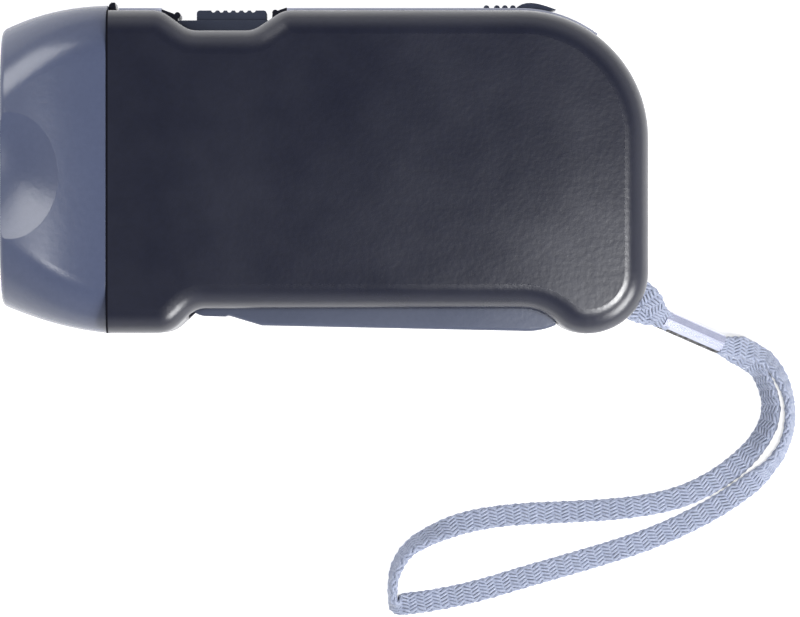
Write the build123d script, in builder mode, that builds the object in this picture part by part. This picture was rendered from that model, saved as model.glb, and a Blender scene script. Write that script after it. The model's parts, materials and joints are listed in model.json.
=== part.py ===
"""Squeeze-lever dynamo flashlight, lying on its flat side, with a braided wrist strap.

Millimetres. x runs from the lens to the tail, y up the side view, z up through the thickness.
The origin is under the middle of the flashlight, on the surface that it lies on.
"""

import math
import os

from build123d import *

# ---- casing: two halves that meet at mid thickness
thickness = 38.0
wall = 2.0
edge_round = 3.9
tail_margin = 14.9  # casing behind the lever's tail
top_y = 25.5
side_height = 48.13  # from the top edge down to the edge above the lever
heel_depth = 4.07  # the rear hump below that edge
heel_length = 12.63
heel_slope = 4.52
chin_depth = 3.97  # the front part below that edge
chin_length = 10.25
chin_slope = 4.09
tail_top_round = 20.6
tail_low_round = 10.0
scoop_from_joint = 8.73  # finger scoop for the switch
scoop_length = 19.82
scoop_floor = 10.43
scoop_front_slope = 4.52
scoop_depth = 3.26
scoop_round = 4.4
fit_gap = 0.05  # between pieces that are assembled and stay put
run_gap = 0.3  # between pieces that move past each other

# ---- strips between the halves
strip_width = 12.0
strip_seat = 1.1  # depth of the channel that a strip sits in
top_proud = 0.7
rim_proud = 1.6  # black rim in front of the first strip, behind the head
back_proud = 0.3
strip_end_angle = 53.4  # where the top strip ends on the tail's big round
back_start_angle = 11.2
back_strip_low_y = -10.9
front_strip_setback = 1.6
front_strip_length = 7.0

# ---- head
head_length = 17.3
head_height = 53.0
head_lip = 1.1  # the front wall that holds the lens in
head_front_round = 1.3
front_taper = 6.6  # how much thinner the head is at its front
neck_length = 5.0
neck_height = 47.0
neck_thickness = 32.6
neck_wall = 1.6
neck_round = 6.0
optic_height = 41.6
optic_thickness = 25.6
optic_round = 9.0
lens_thickness = 1.6
seal_thickness = 0.8
flange_thickness = 1.2
dish_sphere = 34.0
dish_depth = 1.6
dish_y = -1.2
dish_lean = 13.7  # degrees, with the head's taper

# ---- lamp
cup_radius = 8.5
cup_spread = 10.4
cup_lift = 3.2
cup_skin = 0.9
led_radius = 2.5
led_rim = 2.9
led_length = 8.6
board_height = 42.0
board_thickness_z = 28.0
board_depth = 1.6
board_window_height = 40.0
board_window_thickness = 26.0

# ---- lever, its pivot and the toothed sector
pivot_from_joint = 16.0
pivot_lift = 1.86  # above the casing's grip edge
lever_width = 26.0
lever_skin = 1.8
lever_open = 20.0  # degrees
hub_radius = 3.1
pin_radius = 1.0
pin_boss = 1.85
lever_top_y = 2.23  # how far the lever's cheeks reach up past the grip edge
rack_radius = 50.0
rack_to_tail = 6.5  # from the pitch line to the lever's tail
rack_module = 1.0
rack_thickness = 3.4
rack_back = 4.0  # sector's outer edge past the pitch line
rack_tip_angle = 46.0
mesh_angle = 18.0
nose_angle = 2.5
nose_height = 1.6
spring_wire = 0.8
spring_radius = 1.75
spring_turns = 6
spring_pitch = 0.95
spring_arm = 9.0  # leg on the lever
spring_tail = 7.4  # leg against the screw boss

# ---- gear train
pressure_angle = 20.0
backlash = 0.1
rack_pinion_teeth = 10
fine_module = 0.6
large_teeth = 30
clutch_teeth = 12
second_teeth = 24
rotor_teeth = 12
second_axle_angle = 160.0
rotor_axle_angle = 150.0
axle_radius = 0.75
bearing_gap = 0.05
frame_below_mid = 12.6
plate_depth = 1.6
pillar_radius = 1.8
large_face = 3.0
second_face = 2.5

# ---- dynamo
cup_outer = 9.3
cup_wall = 1.0
cup_above_frame = 2.0
cup_below_clutch = 1.1
magnet_wall = 1.35
magnet_gap = 0.5
claw_depth = 0.8
claw_count = 8
bobbin_radius = 5.4

# ---- switch and lock
base_from_joint = 11.3
base_length = 15.2
base_top_drop = 1.3  # below the casing's top edge
cap_setback = 2.94
cap_length = 11.38
cap_height = 1.65
cap_width = 7.0
switch_travel = 2.6
ridge_count = 5
ridge_pitch = 1.3
lock_front_x = 25.0
lock_length = 12.65
lock_width = 8.0
lock_travel = 3.5
lock_track = 0.45  # depth of the slider's track in the top strip
lock_leg_x = 28.0
lock_leg_length = 2.6

# ---- battery, strap
battery_radius = 7.75
battery_height = 16.2
battery_place = (2.0, 25.77)  # from the lever pivot
strap_tube = 1.5
strap_pin_radius = 1.0
strap_pin_place = (-5.9, 7.9)  # from the tail and the heel's lowest line
strap_exit_angle = -27.0
strap_slot_height = 4.0
screw_boss = 3.0
screw_shank = 1.25
screw_head = 2.4

# ---- places worked out from the sizes above
mid = thickness / 2
inner = mid - wall
lever_reach = rack_radius + rack_to_tail
body_length = pivot_from_joint + lever_reach + tail_margin
tail_x = (body_length + head_length - back_proud) / 2
joint_x = tail_x - body_length
grip_y = top_y - side_height
heel_y = grip_y - heel_depth
chin_y = grip_y - chin_depth
scoop_y = top_y - scoop_depth
head_y = chin_y + head_height / 2
head_front = joint_x - head_length
pivot = (joint_x + pivot_from_joint, grip_y + pivot_lift)
tail_round_centre = (tail_x - tail_top_round, top_y - tail_top_round)
lever_low = mid - lever_width / 2
lever_high = mid + lever_width / 2
alpha = math.radians(pressure_angle)


def from_pivot(radius, degrees):
    """A point at a distance and an angle from the lever's pivot."""
    angle = math.radians(degrees)
    return (pivot[0] + radius * math.cos(angle), pivot[1] + radius * math.sin(angle))


def step_from(point, distance, degrees):
    """A point at a distance and an angle from another one."""
    angle = math.radians(degrees)
    return (point[0] + distance * math.cos(angle), point[1] + distance * math.sin(angle))


first_axle = from_pivot(rack_radius - rack_module * rack_pinion_teeth / 2, mesh_angle)
first_gap = fine_module * (large_teeth + clutch_teeth) / 2
second_axle = step_from(first_axle, first_gap, second_axle_angle)
second_gap = fine_module * (second_teeth + rotor_teeth) / 2
rotor_axle = step_from(second_axle, second_gap, rotor_axle_angle)
large_tip = fine_module * (large_teeth / 2 + 0.8)
pillar_places = [
    step_from(rotor_axle, cup_outer + pillar_radius + 4.6, 226.2),
    step_from(rotor_axle, cup_outer + pillar_radius + 2.8, 33.4),
    step_from(first_axle, large_tip + pillar_radius + 2.5, 216.3),
]
rack_low = mid - rack_thickness / 2
first_low = rack_low - 0.5
large_low = rack_low + rack_thickness + 0.7
clutch_low = large_low - 0.3
clutch_high = large_low + large_face + 0.4
second_low = clutch_high + 0.6
frame_low = mid - frame_below_mid
bridge_low = second_low + second_face + 1.0
cup_low = frame_low + plate_depth + cup_above_frame
cup_high = clutch_low - cup_below_clutch
fine_top = 0.8 * fine_module
fine_root = 1.05 * fine_module
battery_centre = (pivot[0] + battery_place[0], pivot[1] + battery_place[1])
strap_pin = (tail_x + strap_pin_place[0], heel_y + strap_pin_place[1])
screw_places = [
    (joint_x + 5.7, top_y - 6.0),
    (joint_x + 5.7, chin_y + 6.1),
    (joint_x + 43.2, top_y - 6.5),
    (tail_x - 10.2, top_y - 13.5),
    (tail_x - 8.2, heel_y + 14.7),
]

# ---- strap route: three short stretches, then points chosen along the loop on the floor
ferrule_front = Vector(55.0, -24.3, 15.5)
ferrule_rear = Vector(64.7, -28.45, 7.6)
ferrule_width = 3.3
ferrule_height = 3.0
ply_offset = 0.8  # the plies lie flat, one above the other
exit_spread = 1.3  # sideways, where they leave the casing
strap_outer = [
    (68.4, -28.9, 6.0),
    (71.2, -30.0, 3.9),
    (73.5, -31.5, 2.8),
    (75.2, -33.9, 2.2),
    (76.4, -36.9, 2.05),
    (76.8, -40.3, 2.0),
    (76.2, -44.4, 1.9),
    (73.9, -48.4, 1.5),
    (69.3, -52.4, 0.95),
    (62.5, -56.8, 0.75),
    (53.5, -60.9, 0.75),
    (43.6, -64.0, 0.75),
    (33.7, -66.8, 0.75),
    (24.5, -69.6, 0.75),
    (17.5, -71.2, 0.75),
    (11.0, -72.0, 1.5),
    (10.8, -68.4, 2.05),
    (11.5, -65.4, 2.0),
    (13.4, -62.4, 1.5),
    (17.0, -60.2, 0.95),
    (22.9, -57.9, 0.75),
    (30.7, -56.7, 0.75),
    (40.3, -56.3, 0.75),
    (49.4, -55.8, 0.75),
    (57.8, -54.3, 0.75),
    (64.5, -51.2, 0.75),
    (69.8, -47.0, 0.8),
    (73.0, -42.5, 0.9),
    (73.75, -38.6, 1.0),
    (72.6, -35.0, 1.4),
    (71.4, -32.7, 2.3),
    (69.3, -31.0, 3.6),
]


def save(part, name):
    """Label a finished piece and write it under its own name."""
    part.label = name
    export_step(part, f"parts/{name}.step")


def side_outline():
    """The casing's side view, filled. The joint with the head is its straight front edge."""
    scoop_x = joint_x + scoop_from_joint
    heel_x = tail_x - heel_length
    chin_x = joint_x + chin_length
    with BuildLine() as outline:
        edge = FilletPolyline(
            (joint_x, top_y),
            (scoop_x, top_y),
            (scoop_x + scoop_front_slope, scoop_y),
            (scoop_x + scoop_front_slope + scoop_floor, scoop_y),
            (scoop_x + scoop_length, top_y),
            (tail_x, top_y),
            (tail_x, heel_y),
            (heel_x, heel_y),
            (heel_x - heel_slope, grip_y),
            (chin_x + chin_slope, grip_y),
            (chin_x, chin_y),
            (joint_x, chin_y),
            radius=[scoop_round, 4.0, 4.0, scoop_round, tail_top_round, tail_low_round, 6.6, 9.0, 4.0, 5.0],
        )
        Line(edge @ 1, edge @ 0)
    make_face(outline.edges())


def round_strip(low, high, start_x, end_angle, grow=0.0):
    """Side view of the strip along the straight top and part of the tail's big round."""
    centre = tail_round_centre
    inner_r = tail_top_round - low - grow
    outer_r = tail_top_round + high + grow
    sweep = 90.0 - end_angle + math.degrees(grow / outer_r)
    first = start_x - grow
    with BuildLine() as outline:
        Line((first, centre[1] + inner_r), (first, centre[1] + outer_r))
        Line((first, centre[1] + outer_r), (centre[0], centre[1] + outer_r))
        far = CenterArc(centre, outer_r, 90, -sweep)
        Line((first, centre[1] + inner_r), (centre[0], centre[1] + inner_r))
        near = CenterArc(centre, inner_r, 90, -sweep)
        Line(far @ 1, near @ 1)
    make_face(outline.edges())


def back_outline(low, high, grow=0.0):
    """Side view of the strip on the tail, from the big round down the straight back."""
    centre = tail_round_centre
    inner_r = tail_top_round - low - grow
    outer_r = tail_top_round + high + grow
    start = back_start_angle + math.degrees(grow / outer_r)
    end_y = back_strip_low_y - grow
    with BuildLine() as outline:
        far = CenterArc(centre, outer_r, 0, start)
        Line((centre[0] + outer_r, centre[1]), (centre[0] + outer_r, end_y))
        Line((centre[0] + outer_r, end_y), (centre[0] + inner_r, end_y))
        Line((centre[0] + inner_r, end_y), (centre[0] + inner_r, centre[1]))
        near = CenterArc(centre, inner_r, 0, start)
        Line(far @ 1, near @ 1)
    make_face(outline.edges())


def plain_box(x0, x1, y0, y1, grow=0.0):
    """A rectangle given by its sides."""
    width = x1 - x0 + 2 * grow
    height = y1 - y0 + 2 * grow
    with Locations(((x0 + x1) / 2, (y0 + y1) / 2)):
        Rectangle(width, height)


front_strip_x = joint_x + front_strip_setback
rear_strip_x = joint_x + scoop_from_joint + scoop_length + 0.4
base_x = joint_x + base_from_joint
base_top = top_y - base_top_drop
base_low = scoop_y - strip_seat
leg_front = base_x + cap_setback + 4.2
leg_rear = leg_front + 3.0


def channel_sketch(grow):
    """Side view of everything that sits in the channel between the halves."""
    round_strip(strip_seat, top_proud, rear_strip_x, strip_end_angle, grow)
    back_outline(strip_seat, back_proud, grow)
    front_end = front_strip_x + front_strip_length
    plain_box(front_strip_x, front_end, top_y - strip_seat, top_y + top_proud, grow)
    plain_box(base_x, base_x + base_length, base_low, base_top, grow)


def casing_half(upper):
    """One moulded half, with its neck, bosses and slots."""
    out = 1 if upper else -1

    def level(height):
        """A plane parallel to the joint between the halves, at a height above it."""
        return Plane.XY.offset(mid + out * height)

    with BuildPart() as half:
        with BuildSketch(level(0)):
            side_outline()
        extrude(amount=out * mid)
        face = half.faces().sort_by(Axis.Z)[-1 if upper else 0]
        rim = [e for e in face.edges() if e.center().X > joint_x + fit_gap]
        fillet(rim, edge_round)
        outer_form = half.part
        # the hollow inside, with one wall all round
        with BuildSketch(level(0)):
            side_outline()
            offset(amount=-wall)
        extrude(amount=out * inner, mode=Mode.SUBTRACT)
        # the long slot that the lever swings out of
        with BuildSketch(level(0)):
            plain_box(pivot[0] - hub_radius - 0.4, pivot[0] + lever_reach + 0.6, heel_y - 1, grip_y + wall + 2)
        extrude(amount=out * (lever_width / 2 + 0.5), mode=Mode.SUBTRACT)
        # neck that the head slides over, and the window behind it
        neck_plane = Plane(origin=(joint_x + wall / 2, head_y, mid), x_dir=(0, 1, 0), z_dir=(-1, 0, 0))
        with BuildSketch(neck_plane):
            RectangleRounded(neck_height, neck_thickness, neck_round)
        extrude(amount=neck_length + wall / 2)
        with BuildSketch(Plane(origin=(joint_x, head_y, mid), x_dir=(0, 1, 0), z_dir=(-1, 0, 0))):
            RectangleRounded(neck_height - 2 * neck_wall, neck_thickness - 2 * neck_wall, neck_round - neck_wall)
        extrude(amount=neck_length, mode=Mode.SUBTRACT)
        with BuildSketch(Plane(origin=(joint_x + wall, head_y, mid), x_dir=(0, 1, 0), z_dir=(-1, 0, 0))):
            RectangleRounded(board_window_height, board_window_thickness, neck_round)
        extrude(amount=wall, mode=Mode.SUBTRACT)
        with BuildSketch(level(0)):
            plain_box(joint_x - neck_length - 1, tail_x, heel_y - 1, top_y + 3)
        extrude(amount=-out * mid, mode=Mode.SUBTRACT)
        # black ramps that lead down from the strips to the switch plate
        ramp_front = front_strip_x + front_strip_length + fit_gap
        ramp_end = base_x - fit_gap
        with BuildSketch(level(0)):
            with BuildLine():
                Polyline(
                    (joint_x, scoop_y),
                    (joint_x, top_y + rim_proud - 0.4),
                    (joint_x + 0.4, top_y + rim_proud),
                    (joint_x + 1.0, top_y + rim_proud),
                    (joint_x + 1.3, top_y),
                    (joint_x + 1.3, scoop_y),
                    close=True,
                )
            make_face()
            with BuildLine():
                Polyline(
                    (ramp_front, scoop_y - wall / 2),
                    (ramp_front, top_y + 0.5),
                    (ramp_end - 0.7, base_top + 1.1),
                    (ramp_end, base_top + 0.6),
                    (ramp_end, scoop_y - wall / 2),
                    close=True,
                )
            make_face()
            with BuildLine():
                Polyline(
                    (rear_strip_x - fit_gap, scoop_y - wall / 2),
                    (rear_strip_x - fit_gap, top_y + 0.8),
                    (base_x + base_length + 0.7, base_top + 1.5),
                    (base_x + base_length + fit_gap, base_top + 0.9),
                    (base_x + base_length + fit_gap, scoop_y - wall / 2),
                    close=True,
                )
            make_face()
            # round beads at the ends of both ramps
            with Locations((ramp_end - 0.1, base_top + 0.85), (base_x + base_length + 0.55, base_top + 1.25)):
                Circle(0.5)
        extrude(amount=out * strip_width / 2)
        # channel for the strips and the switch plate
        with BuildSketch(level(0)):
            channel_sketch(fit_gap)
        extrude(amount=out * (strip_width / 2 + fit_gap), mode=Mode.SUBTRACT)
        # slots for the legs of the switch and of the lock
        with BuildSketch(level(0)):
            plain_box(leg_front - switch_travel - 0.3, leg_rear + 0.3, scoop_y - wall - 1, scoop_y)
            plain_box(lock_leg_x - 0.3, lock_leg_x + lock_leg_length + lock_travel + 0.3, top_y - wall - 3, top_y)
        extrude(amount=out * 1.8, mode=Mode.SUBTRACT)
        # slot that the strap leaves by
        strap_gap = strap_pin_radius + strap_tube + 0.95
        with BuildSketch(level(0)):
            with Locations(step_from(strap_pin, 7.0, strap_exit_angle)):
                Rectangle(8.0, 2 * strap_gap, rotation=strap_exit_angle)
        extrude(amount=out * strap_slot_height / 2, mode=Mode.SUBTRACT)
        # bosses for the lever's pin, the strap's pin and the screws
        boss_low = lever_width / 2 + run_gap
        boss_plane = Plane(origin=(pivot[0], pivot[1], mid + out * boss_low), z_dir=(0, 0, out))
        add(Solid.make_cylinder(pin_boss, inner - boss_low + wall / 2, boss_plane) & outer_form)
        with BuildSketch(level(strap_tube / 2 + 2.5)):
            with Locations(strap_pin):
                Circle(strap_pin_radius + 1.0)
        extrude(amount=out * (inner - strap_tube / 2 - 2.5 + wall / 2))
        with BuildSketch(level(0)):
            with Locations(screw_places):
                Circle(screw_boss)
        extrude(amount=out * (inner + wall / 2))
        with BuildSketch(level(0)):
            with Locations(pivot):
                Circle(pin_radius + bearing_gap)
        extrude(amount=out * (inner - 1.0), mode=Mode.SUBTRACT)
        with BuildSketch(level(0)):
            with Locations(strap_pin):
                Circle(strap_pin_radius + fit_gap)
        extrude(amount=out * 8.0, mode=Mode.SUBTRACT)
        if upper:
            with BuildSketch(level(0)):
                with Locations(screw_places):
                    Circle(screw_shank + 0.02)
            extrude(amount=12.0, mode=Mode.SUBTRACT)
        else:
            with BuildSketch(level(0)):
                with Locations(screw_places):
                    Circle(screw_shank + 0.15)
            extrude(amount=-mid, mode=Mode.SUBTRACT)
            with BuildSketch(Plane.XY):
                with Locations(screw_places):
                    Circle(screw_head + 0.3)
            extrude(amount=11.0, mode=Mode.SUBTRACT)
            # posts with spigots that the gear frame stands on
            with BuildSketch(Plane.XY.offset(wall / 2)):
                with Locations(pillar_places):
                    Circle(pillar_radius + 0.4)
            extrude(amount=frame_low - wall / 2)
            with BuildSketch(Plane.XY.offset(frame_low)):
                with Locations(pillar_places):
                    Circle(0.9)
            extrude(amount=plate_depth)
            # ring that the battery stands in
            with BuildSketch(Plane.XY.offset(wall / 2)):
                with Locations(battery_centre):
                    Circle(battery_radius + 1.2)
                    Circle(battery_radius + 0.1, mode=Mode.SUBTRACT)
            extrude(amount=5.0)
    return half.part


def involute_turn(base, radius):
    """How far an involute has turned at a radius, in radians."""
    tilt = math.acos(min(1.0, base / radius))
    return math.tan(tilt) - tilt


def polar(centre, radius, angle):
    """A point from a centre, a radius and an angle in radians."""
    return (centre[0] + radius * math.cos(angle), centre[1] + radius * math.sin(angle))


def gear_outline(centre, teeth, module, tooth_at, addendum, dedendum, slack=backlash):
    """A spur gear's outline, filled, with one tooth centred on the angle tooth_at (degrees)."""
    pitch_r = module * teeth / 2
    base_r = pitch_r * math.cos(alpha)
    tip_r = pitch_r + addendum
    root_r = pitch_r - dedendum
    flank_r = max(base_r, root_r)
    half_pitch = math.pi / (2 * teeth) - slack / (2 * pitch_r) + involute_turn(base_r, pitch_r)

    def side(radius):
        return half_pitch - involute_turn(base_r, radius)

    radii = [flank_r, (flank_r + tip_r) / 2, tip_r]
    with BuildLine() as outline:
        for tooth in range(teeth):
            axis = math.radians(tooth_at) + 2 * math.pi * tooth / teeth
            after = axis + 2 * math.pi / teeth
            rise = [polar(centre, r, axis - side(r)) for r in radii]
            fall = [polar(centre, r, axis + side(r)) for r in reversed(radii)]
            root_start = polar(centre, root_r, axis - side(flank_r))
            root_end = polar(centre, root_r, axis + side(flank_r))
            next_root = polar(centre, root_r, after - side(flank_r))
            if root_r < flank_r:
                Line(root_start, rise[0])
                Line(fall[2], root_end)
            ThreePointArc(*rise)
            Line(rise[2], fall[0])
            ThreePointArc(*fall)
            Line(fall[2] if root_r >= flank_r else root_end, next_root)
    make_face(outline.edges())


def sector_space(index):
    """One gap between the sector's inward teeth, as a closed shape to cut away."""
    teeth = 2 * rack_radius / rack_module
    base_r = rack_radius * math.cos(alpha)
    tip_r = rack_radius - 0.5 * rack_module
    root_r = rack_radius + 1.3 * rack_module
    half = math.pi / (2 * teeth) + backlash / (2 * rack_radius) + involute_turn(base_r, rack_radius)
    axis = math.radians(mesh_angle) + 2 * math.pi * index / teeth
    radii = [tip_r, (tip_r + root_r) / 2, root_r]
    left = [polar(pivot, r, axis + half - involute_turn(base_r, r)) for r in radii]
    right = [polar(pivot, r, axis - half + involute_turn(base_r, r)) for r in radii]
    open_left = polar(pivot, tip_r - 0.4, axis + half - involute_turn(base_r, tip_r))
    open_right = polar(pivot, tip_r - 0.4, axis - half + involute_turn(base_r, tip_r))
    with BuildLine() as outline:
        ThreePointArc(*left)
        ThreePointArc(*right)
        Line(left[2], right[2])
        Line(left[0], open_left)
        Line(open_left, open_right)
        Line(open_right, right[0])
    make_face(outline.edges(), mode=Mode.SUBTRACT)


lever_web_y = chin_y + 1.2  # inner side of the lever's outer skin near its tail
foot_front = pivot[0] + rack_radius - 0.5


def sector_rack():
    """Toothed arc on the lever's tail, centred on the lever's pivot, with the lock's nose on top."""
    inner_r = rack_radius - 0.5 * rack_module
    outer_r = rack_radius + rack_back
    with BuildPart() as sector:
        with BuildSketch(Plane.XY.offset(rack_low)):
            with BuildLine():
                inside = CenterArc(pivot, inner_r, -1.5, rack_tip_angle + 1.5)
                outside = CenterArc(pivot, outer_r, -1.5, rack_tip_angle + 1.5)
                Line(inside @ 0, outside @ 0)
                Line(inside @ 1, outside @ 1)
            make_face()
            plain_box(foot_front, pivot[0] + outer_r - 0.1, lever_web_y, pivot[1] + 1)
            with BuildLine():
                Polyline(
                    from_pivot(outer_r - 1, rack_tip_angle),
                    from_pivot(outer_r + nose_height, rack_tip_angle),
                    from_pivot(outer_r + nose_height, rack_tip_angle - nose_angle),
                    from_pivot(outer_r - 1, rack_tip_angle - nose_angle),
                    close=True,
                )
            make_face()
            for index in range(-2, 8):
                sector_space(index)
            with Locations(rivet_places()):
                Circle(0.8, mode=Mode.SUBTRACT)
        extrude(amount=rack_thickness)
    return sector.part


def rivet_places():
    """The two rivets that hold the sector between the lever's ribs."""
    return [(foot_front + 1.3, lever_web_y + 2.0), (foot_front + 3.2, lever_web_y + 2.0)]


def rack_rivets():
    """Two plain rivets across the ribs and the sector's foot."""
    with BuildPart() as rivets:
        with BuildSketch(Plane.XY.offset(rack_low - 2.0)):
            with Locations(rivet_places()):
                Circle(0.75)
        extrude(amount=rack_thickness + 4.0)
    return rivets.part


def squeeze_lever():
    """The grip: a trough with a hub at the front and two ribs for the sector at the tail."""
    tail = pivot[0] + lever_reach
    cheek = grip_y + lever_top_y
    low_front = (pivot[0] + 9.0, grip_y - 2.77)
    low_rear = (tail - 4.5, grip_y - 3.67)
    tip = (tail, grip_y - 2.7)
    with BuildPart() as lever:
        with BuildSketch(Plane.XY.offset(lever_low)):
            with BuildLine():
                Polyline(
                    (tail, cheek),
                    (pivot[0], cheek),
                    (pivot[0], pivot[1] - hub_radius),
                    (pivot[0] + 3.1, grip_y - 1.32),
                    (pivot[0] + 3.5, grip_y - 1.12),
                    low_front,
                    low_rear,
                )
                ThreePointArc(low_rear, ((low_rear[0] + tip[0]) / 2, grip_y - 3.44), tip)
                Line(tip, (tail, cheek))
            make_face()
            with Locations(pivot):
                Circle(hub_radius)
        extrude(amount=lever_width)
        outer_edges = lever.edges().filter_by(Axis.Z, reverse=True).filter_by(
            lambda e: e.center().Y < grip_y - 1.2 and e.center().X > pivot[0] + 3.6
        )
        fillet(outer_edges, 0.5)
        # the trough, open towards the casing
        with BuildSketch(Plane.XY.offset(lever_low + lever_skin)):
            with BuildLine():
                Polyline(
                    (pivot[0] + 5.7, cheek + 1),
                    (pivot[0] + 5.7, grip_y + 0.1),
                    (low_front[0] + 0.4, low_front[1] + lever_skin),
                    (low_rear[0] - 5.0, lever_web_y),
                    (tail - lever_skin - 0.7, lever_web_y),
                    (tail - lever_skin, lever_web_y + 0.6),
                    (tail - lever_skin, cheek + 1),
                    close=True,
                )
            make_face()
        extrude(amount=lever_width - 2 * lever_skin, mode=Mode.SUBTRACT)
        # room for the return spring between the hub's two lugs
        with BuildSketch(Plane.XY.offset(mid - 4.5)):
            with Locations(pivot):
                Circle(spring_radius + spring_wire / 2 + 0.25)
            plain_box(pivot[0] - hub_radius - 1, pivot[0] + 6.0, pivot[1] - 2.1, cheek + 3)
        extrude(amount=9.0, mode=Mode.SUBTRACT)
        # cross rib that the spring's leg presses on
        with BuildSketch(Plane.XY.offset(lever_low + lever_skin / 2)):
            plain_box(pivot[0] + 7.5, pivot[0] + 8.5, grip_y - 1.6, spring_leg_y - spring_wire / 2 - 0.02)
        extrude(amount=lever_width - lever_skin)
        # ribs on both sides of the sector's foot
        for low in (rack_low - fit_gap - 1.5, rack_low + rack_thickness + fit_gap):
            with BuildSketch(Plane.XY.offset(low)):
                plain_box(foot_front - 1.5, tail - lever_skin / 2, lever_web_y - 0.2, cheek)
            extrude(amount=1.5)
        with BuildSketch(Plane.XY.offset(mid - 4)):
            with Locations(rivet_places()):
                Circle(0.8)
        extrude(amount=8.0, mode=Mode.SUBTRACT)
        with BuildSketch(Plane.XY.offset(lever_low)):
            with Locations(pivot):
                Circle(pin_radius + bearing_gap)
        extrude(amount=lever_width, mode=Mode.SUBTRACT)
    return lever.part


spring_leg_y = pivot[1] + spring_radius


def lever_spring():
    """Torsion spring around the pin: its coil, and two straight legs that leave it without a kink."""
    height = spring_turns * spring_pitch
    with BuildPart() as spring:
        with BuildLine() as path:
            coil = Helix(spring_pitch, height, spring_radius)
            Line((coil @ 0) - (coil % 0) * spring_arm, coil @ 0)
            Line(coil @ 1, (coil @ 1) + (coil % 1) * spring_tail)
        wire = path.wire()
        with BuildSketch(Plane(origin=wire @ 0, z_dir=wire % 0)):
            Circle(spring_wire / 2)
        sweep(path=wire)
    print("lever_spring length", round(wire.length, 1), "volume", round(spring.part.volume, 1))
    return spring.part.moved(Location((pivot[0], pivot[1], mid - height / 2), (0, 0, 90)))


def pivot_pin():
    """The steel pin that the lever turns on, held in both halves."""
    with BuildPart() as pin:
        with BuildSketch(Plane.XY.offset(wall + 1.2)):
            with Locations(pivot):
                Circle(pin_radius)
        extrude(amount=thickness - 2 * wall - 2.4)
        chamfer(pin.edges(), 0.2)
    return pin.part


def across(x):
    """A plane across the flashlight at x, looking towards the front, centred on the head."""
    return Plane(origin=(x, head_y, mid), x_dir=(0, 1, 0), z_dir=(-1, 0, 0))


def head_bezel():
    """The oval head: a hollow barrel with a lip for the lens and a dish in each flat side."""
    with BuildPart() as head:
        # distance from the joint, how much less high and thick, corner, and how far its middle is lifted
        for back, less_height, less_thickness, corner, lift in [
            (0.0, 0.0, 0.0, 8.0, 0.0),
            (6.6, 1.6, 1.4, 9.0, 0.25),
            (11.8, 4.2, 3.4, 10.5, 0.4),
            (head_length, 8.35, front_taper, 12.0, 0.38),
        ]:
            with BuildSketch(across(joint_x - back)):
                with Locations((lift, 0)):
                    RectangleRounded(head_height - less_height, thickness - less_thickness, corner)
        loft()
        fillet(head.faces().sort_by(Axis.X)[0].edges(), head_front_round)
        lean = math.radians(dish_lean)
        reach = dish_sphere - dish_depth
        for side in (-1, 1):
            above_mid = (thickness - front_taper) / 2 + reach * math.cos(lean)
            with Locations((head_front - 0.4 - reach * math.sin(lean), dish_y, mid + side * above_mid)):
                Sphere(dish_sphere, mode=Mode.SUBTRACT)
        with BuildSketch(across(joint_x)):
            RectangleRounded(neck_height + 2 * fit_gap, neck_thickness + 2 * fit_gap, neck_round)
        extrude(amount=neck_length + fit_gap, mode=Mode.SUBTRACT)
        with BuildSketch(across(joint_x)):
            RectangleRounded(optic_height + 2 * fit_gap, optic_thickness + 2 * fit_gap, optic_round)
        extrude(amount=head_length - head_lip, mode=Mode.SUBTRACT)
        with BuildSketch(across(joint_x)):
            RectangleRounded(optic_height - 2.1, optic_thickness - 2.1, optic_round - 1.0)
        extrude(amount=head_length + 1, mode=Mode.SUBTRACT)
    return head.part


lens_front = head_front + head_lip + fit_gap
seal_front = lens_front + lens_thickness
flange_front = seal_front + seal_thickness
board_front = joint_x - board_depth
cup_depth = board_front - cup_skin - flange_front
cup_places = [(-cup_spread, -cup_lift), (cup_spread, -cup_lift), (0.0, cup_lift)]


def lens():
    """Clear front window."""
    with BuildPart() as window:
        with BuildSketch(across(lens_front)):
            RectangleRounded(optic_height, optic_thickness, optic_round)
        extrude(amount=-lens_thickness)
        fillet(window.faces().sort_by(Axis.X)[0].edges(), 0.4)
    return window.part


def lens_seal():
    """Thin rubber frame between the lens and the reflector."""
    with BuildPart() as seal:
        with BuildSketch(across(seal_front)):
            RectangleRounded(optic_height, optic_thickness, optic_round)
            RectangleRounded(optic_height - 2.4, optic_thickness - 2.4, optic_round - 1.2, mode=Mode.SUBTRACT)
        extrude(amount=-seal_thickness)
    return seal.part


def paraboloid(place, grow, mode):
    """A bowl of revolution along x with its mouth on the flange's front, as a solid."""
    mouth = cup_radius + grow
    depth = cup_depth + grow
    origin = (flange_front, head_y + place[0], mid - place[1])
    with BuildSketch(Plane(origin=origin, x_dir=(0, 1, 0), z_dir=(0, 0, 1))) as section:
        with BuildLine():
            bowl = Spline(
                (0, -depth),
                (mouth / 2, -depth * 0.75),
                (mouth, 0),
                tangents=[(1, 0), (mouth, 2 * depth)],
            )
            Line(bowl @ 1, (0, 0))
            Line((0, 0), bowl @ 0)
        make_face()
    revolve(section.sketch, axis=Axis(origin, (1, 0, 0)), mode=mode)


def reflector():
    """Three bowls that run into each other behind one flange."""
    with BuildPart() as mirror_part:
        with BuildSketch(across(flange_front)):
            RectangleRounded(optic_height, optic_thickness, optic_round)
        extrude(amount=-flange_thickness)
        for place in cup_places:
            paraboloid(place, cup_skin, Mode.ADD)
        for place in cup_places:
            paraboloid(place, 0.0, Mode.SUBTRACT)
        with BuildSketch(across(board_front)):
            with Locations(cup_places):
                Circle(led_rim + 0.15)
        extrude(amount=3.0, mode=Mode.SUBTRACT)
    return mirror_part.part


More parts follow.
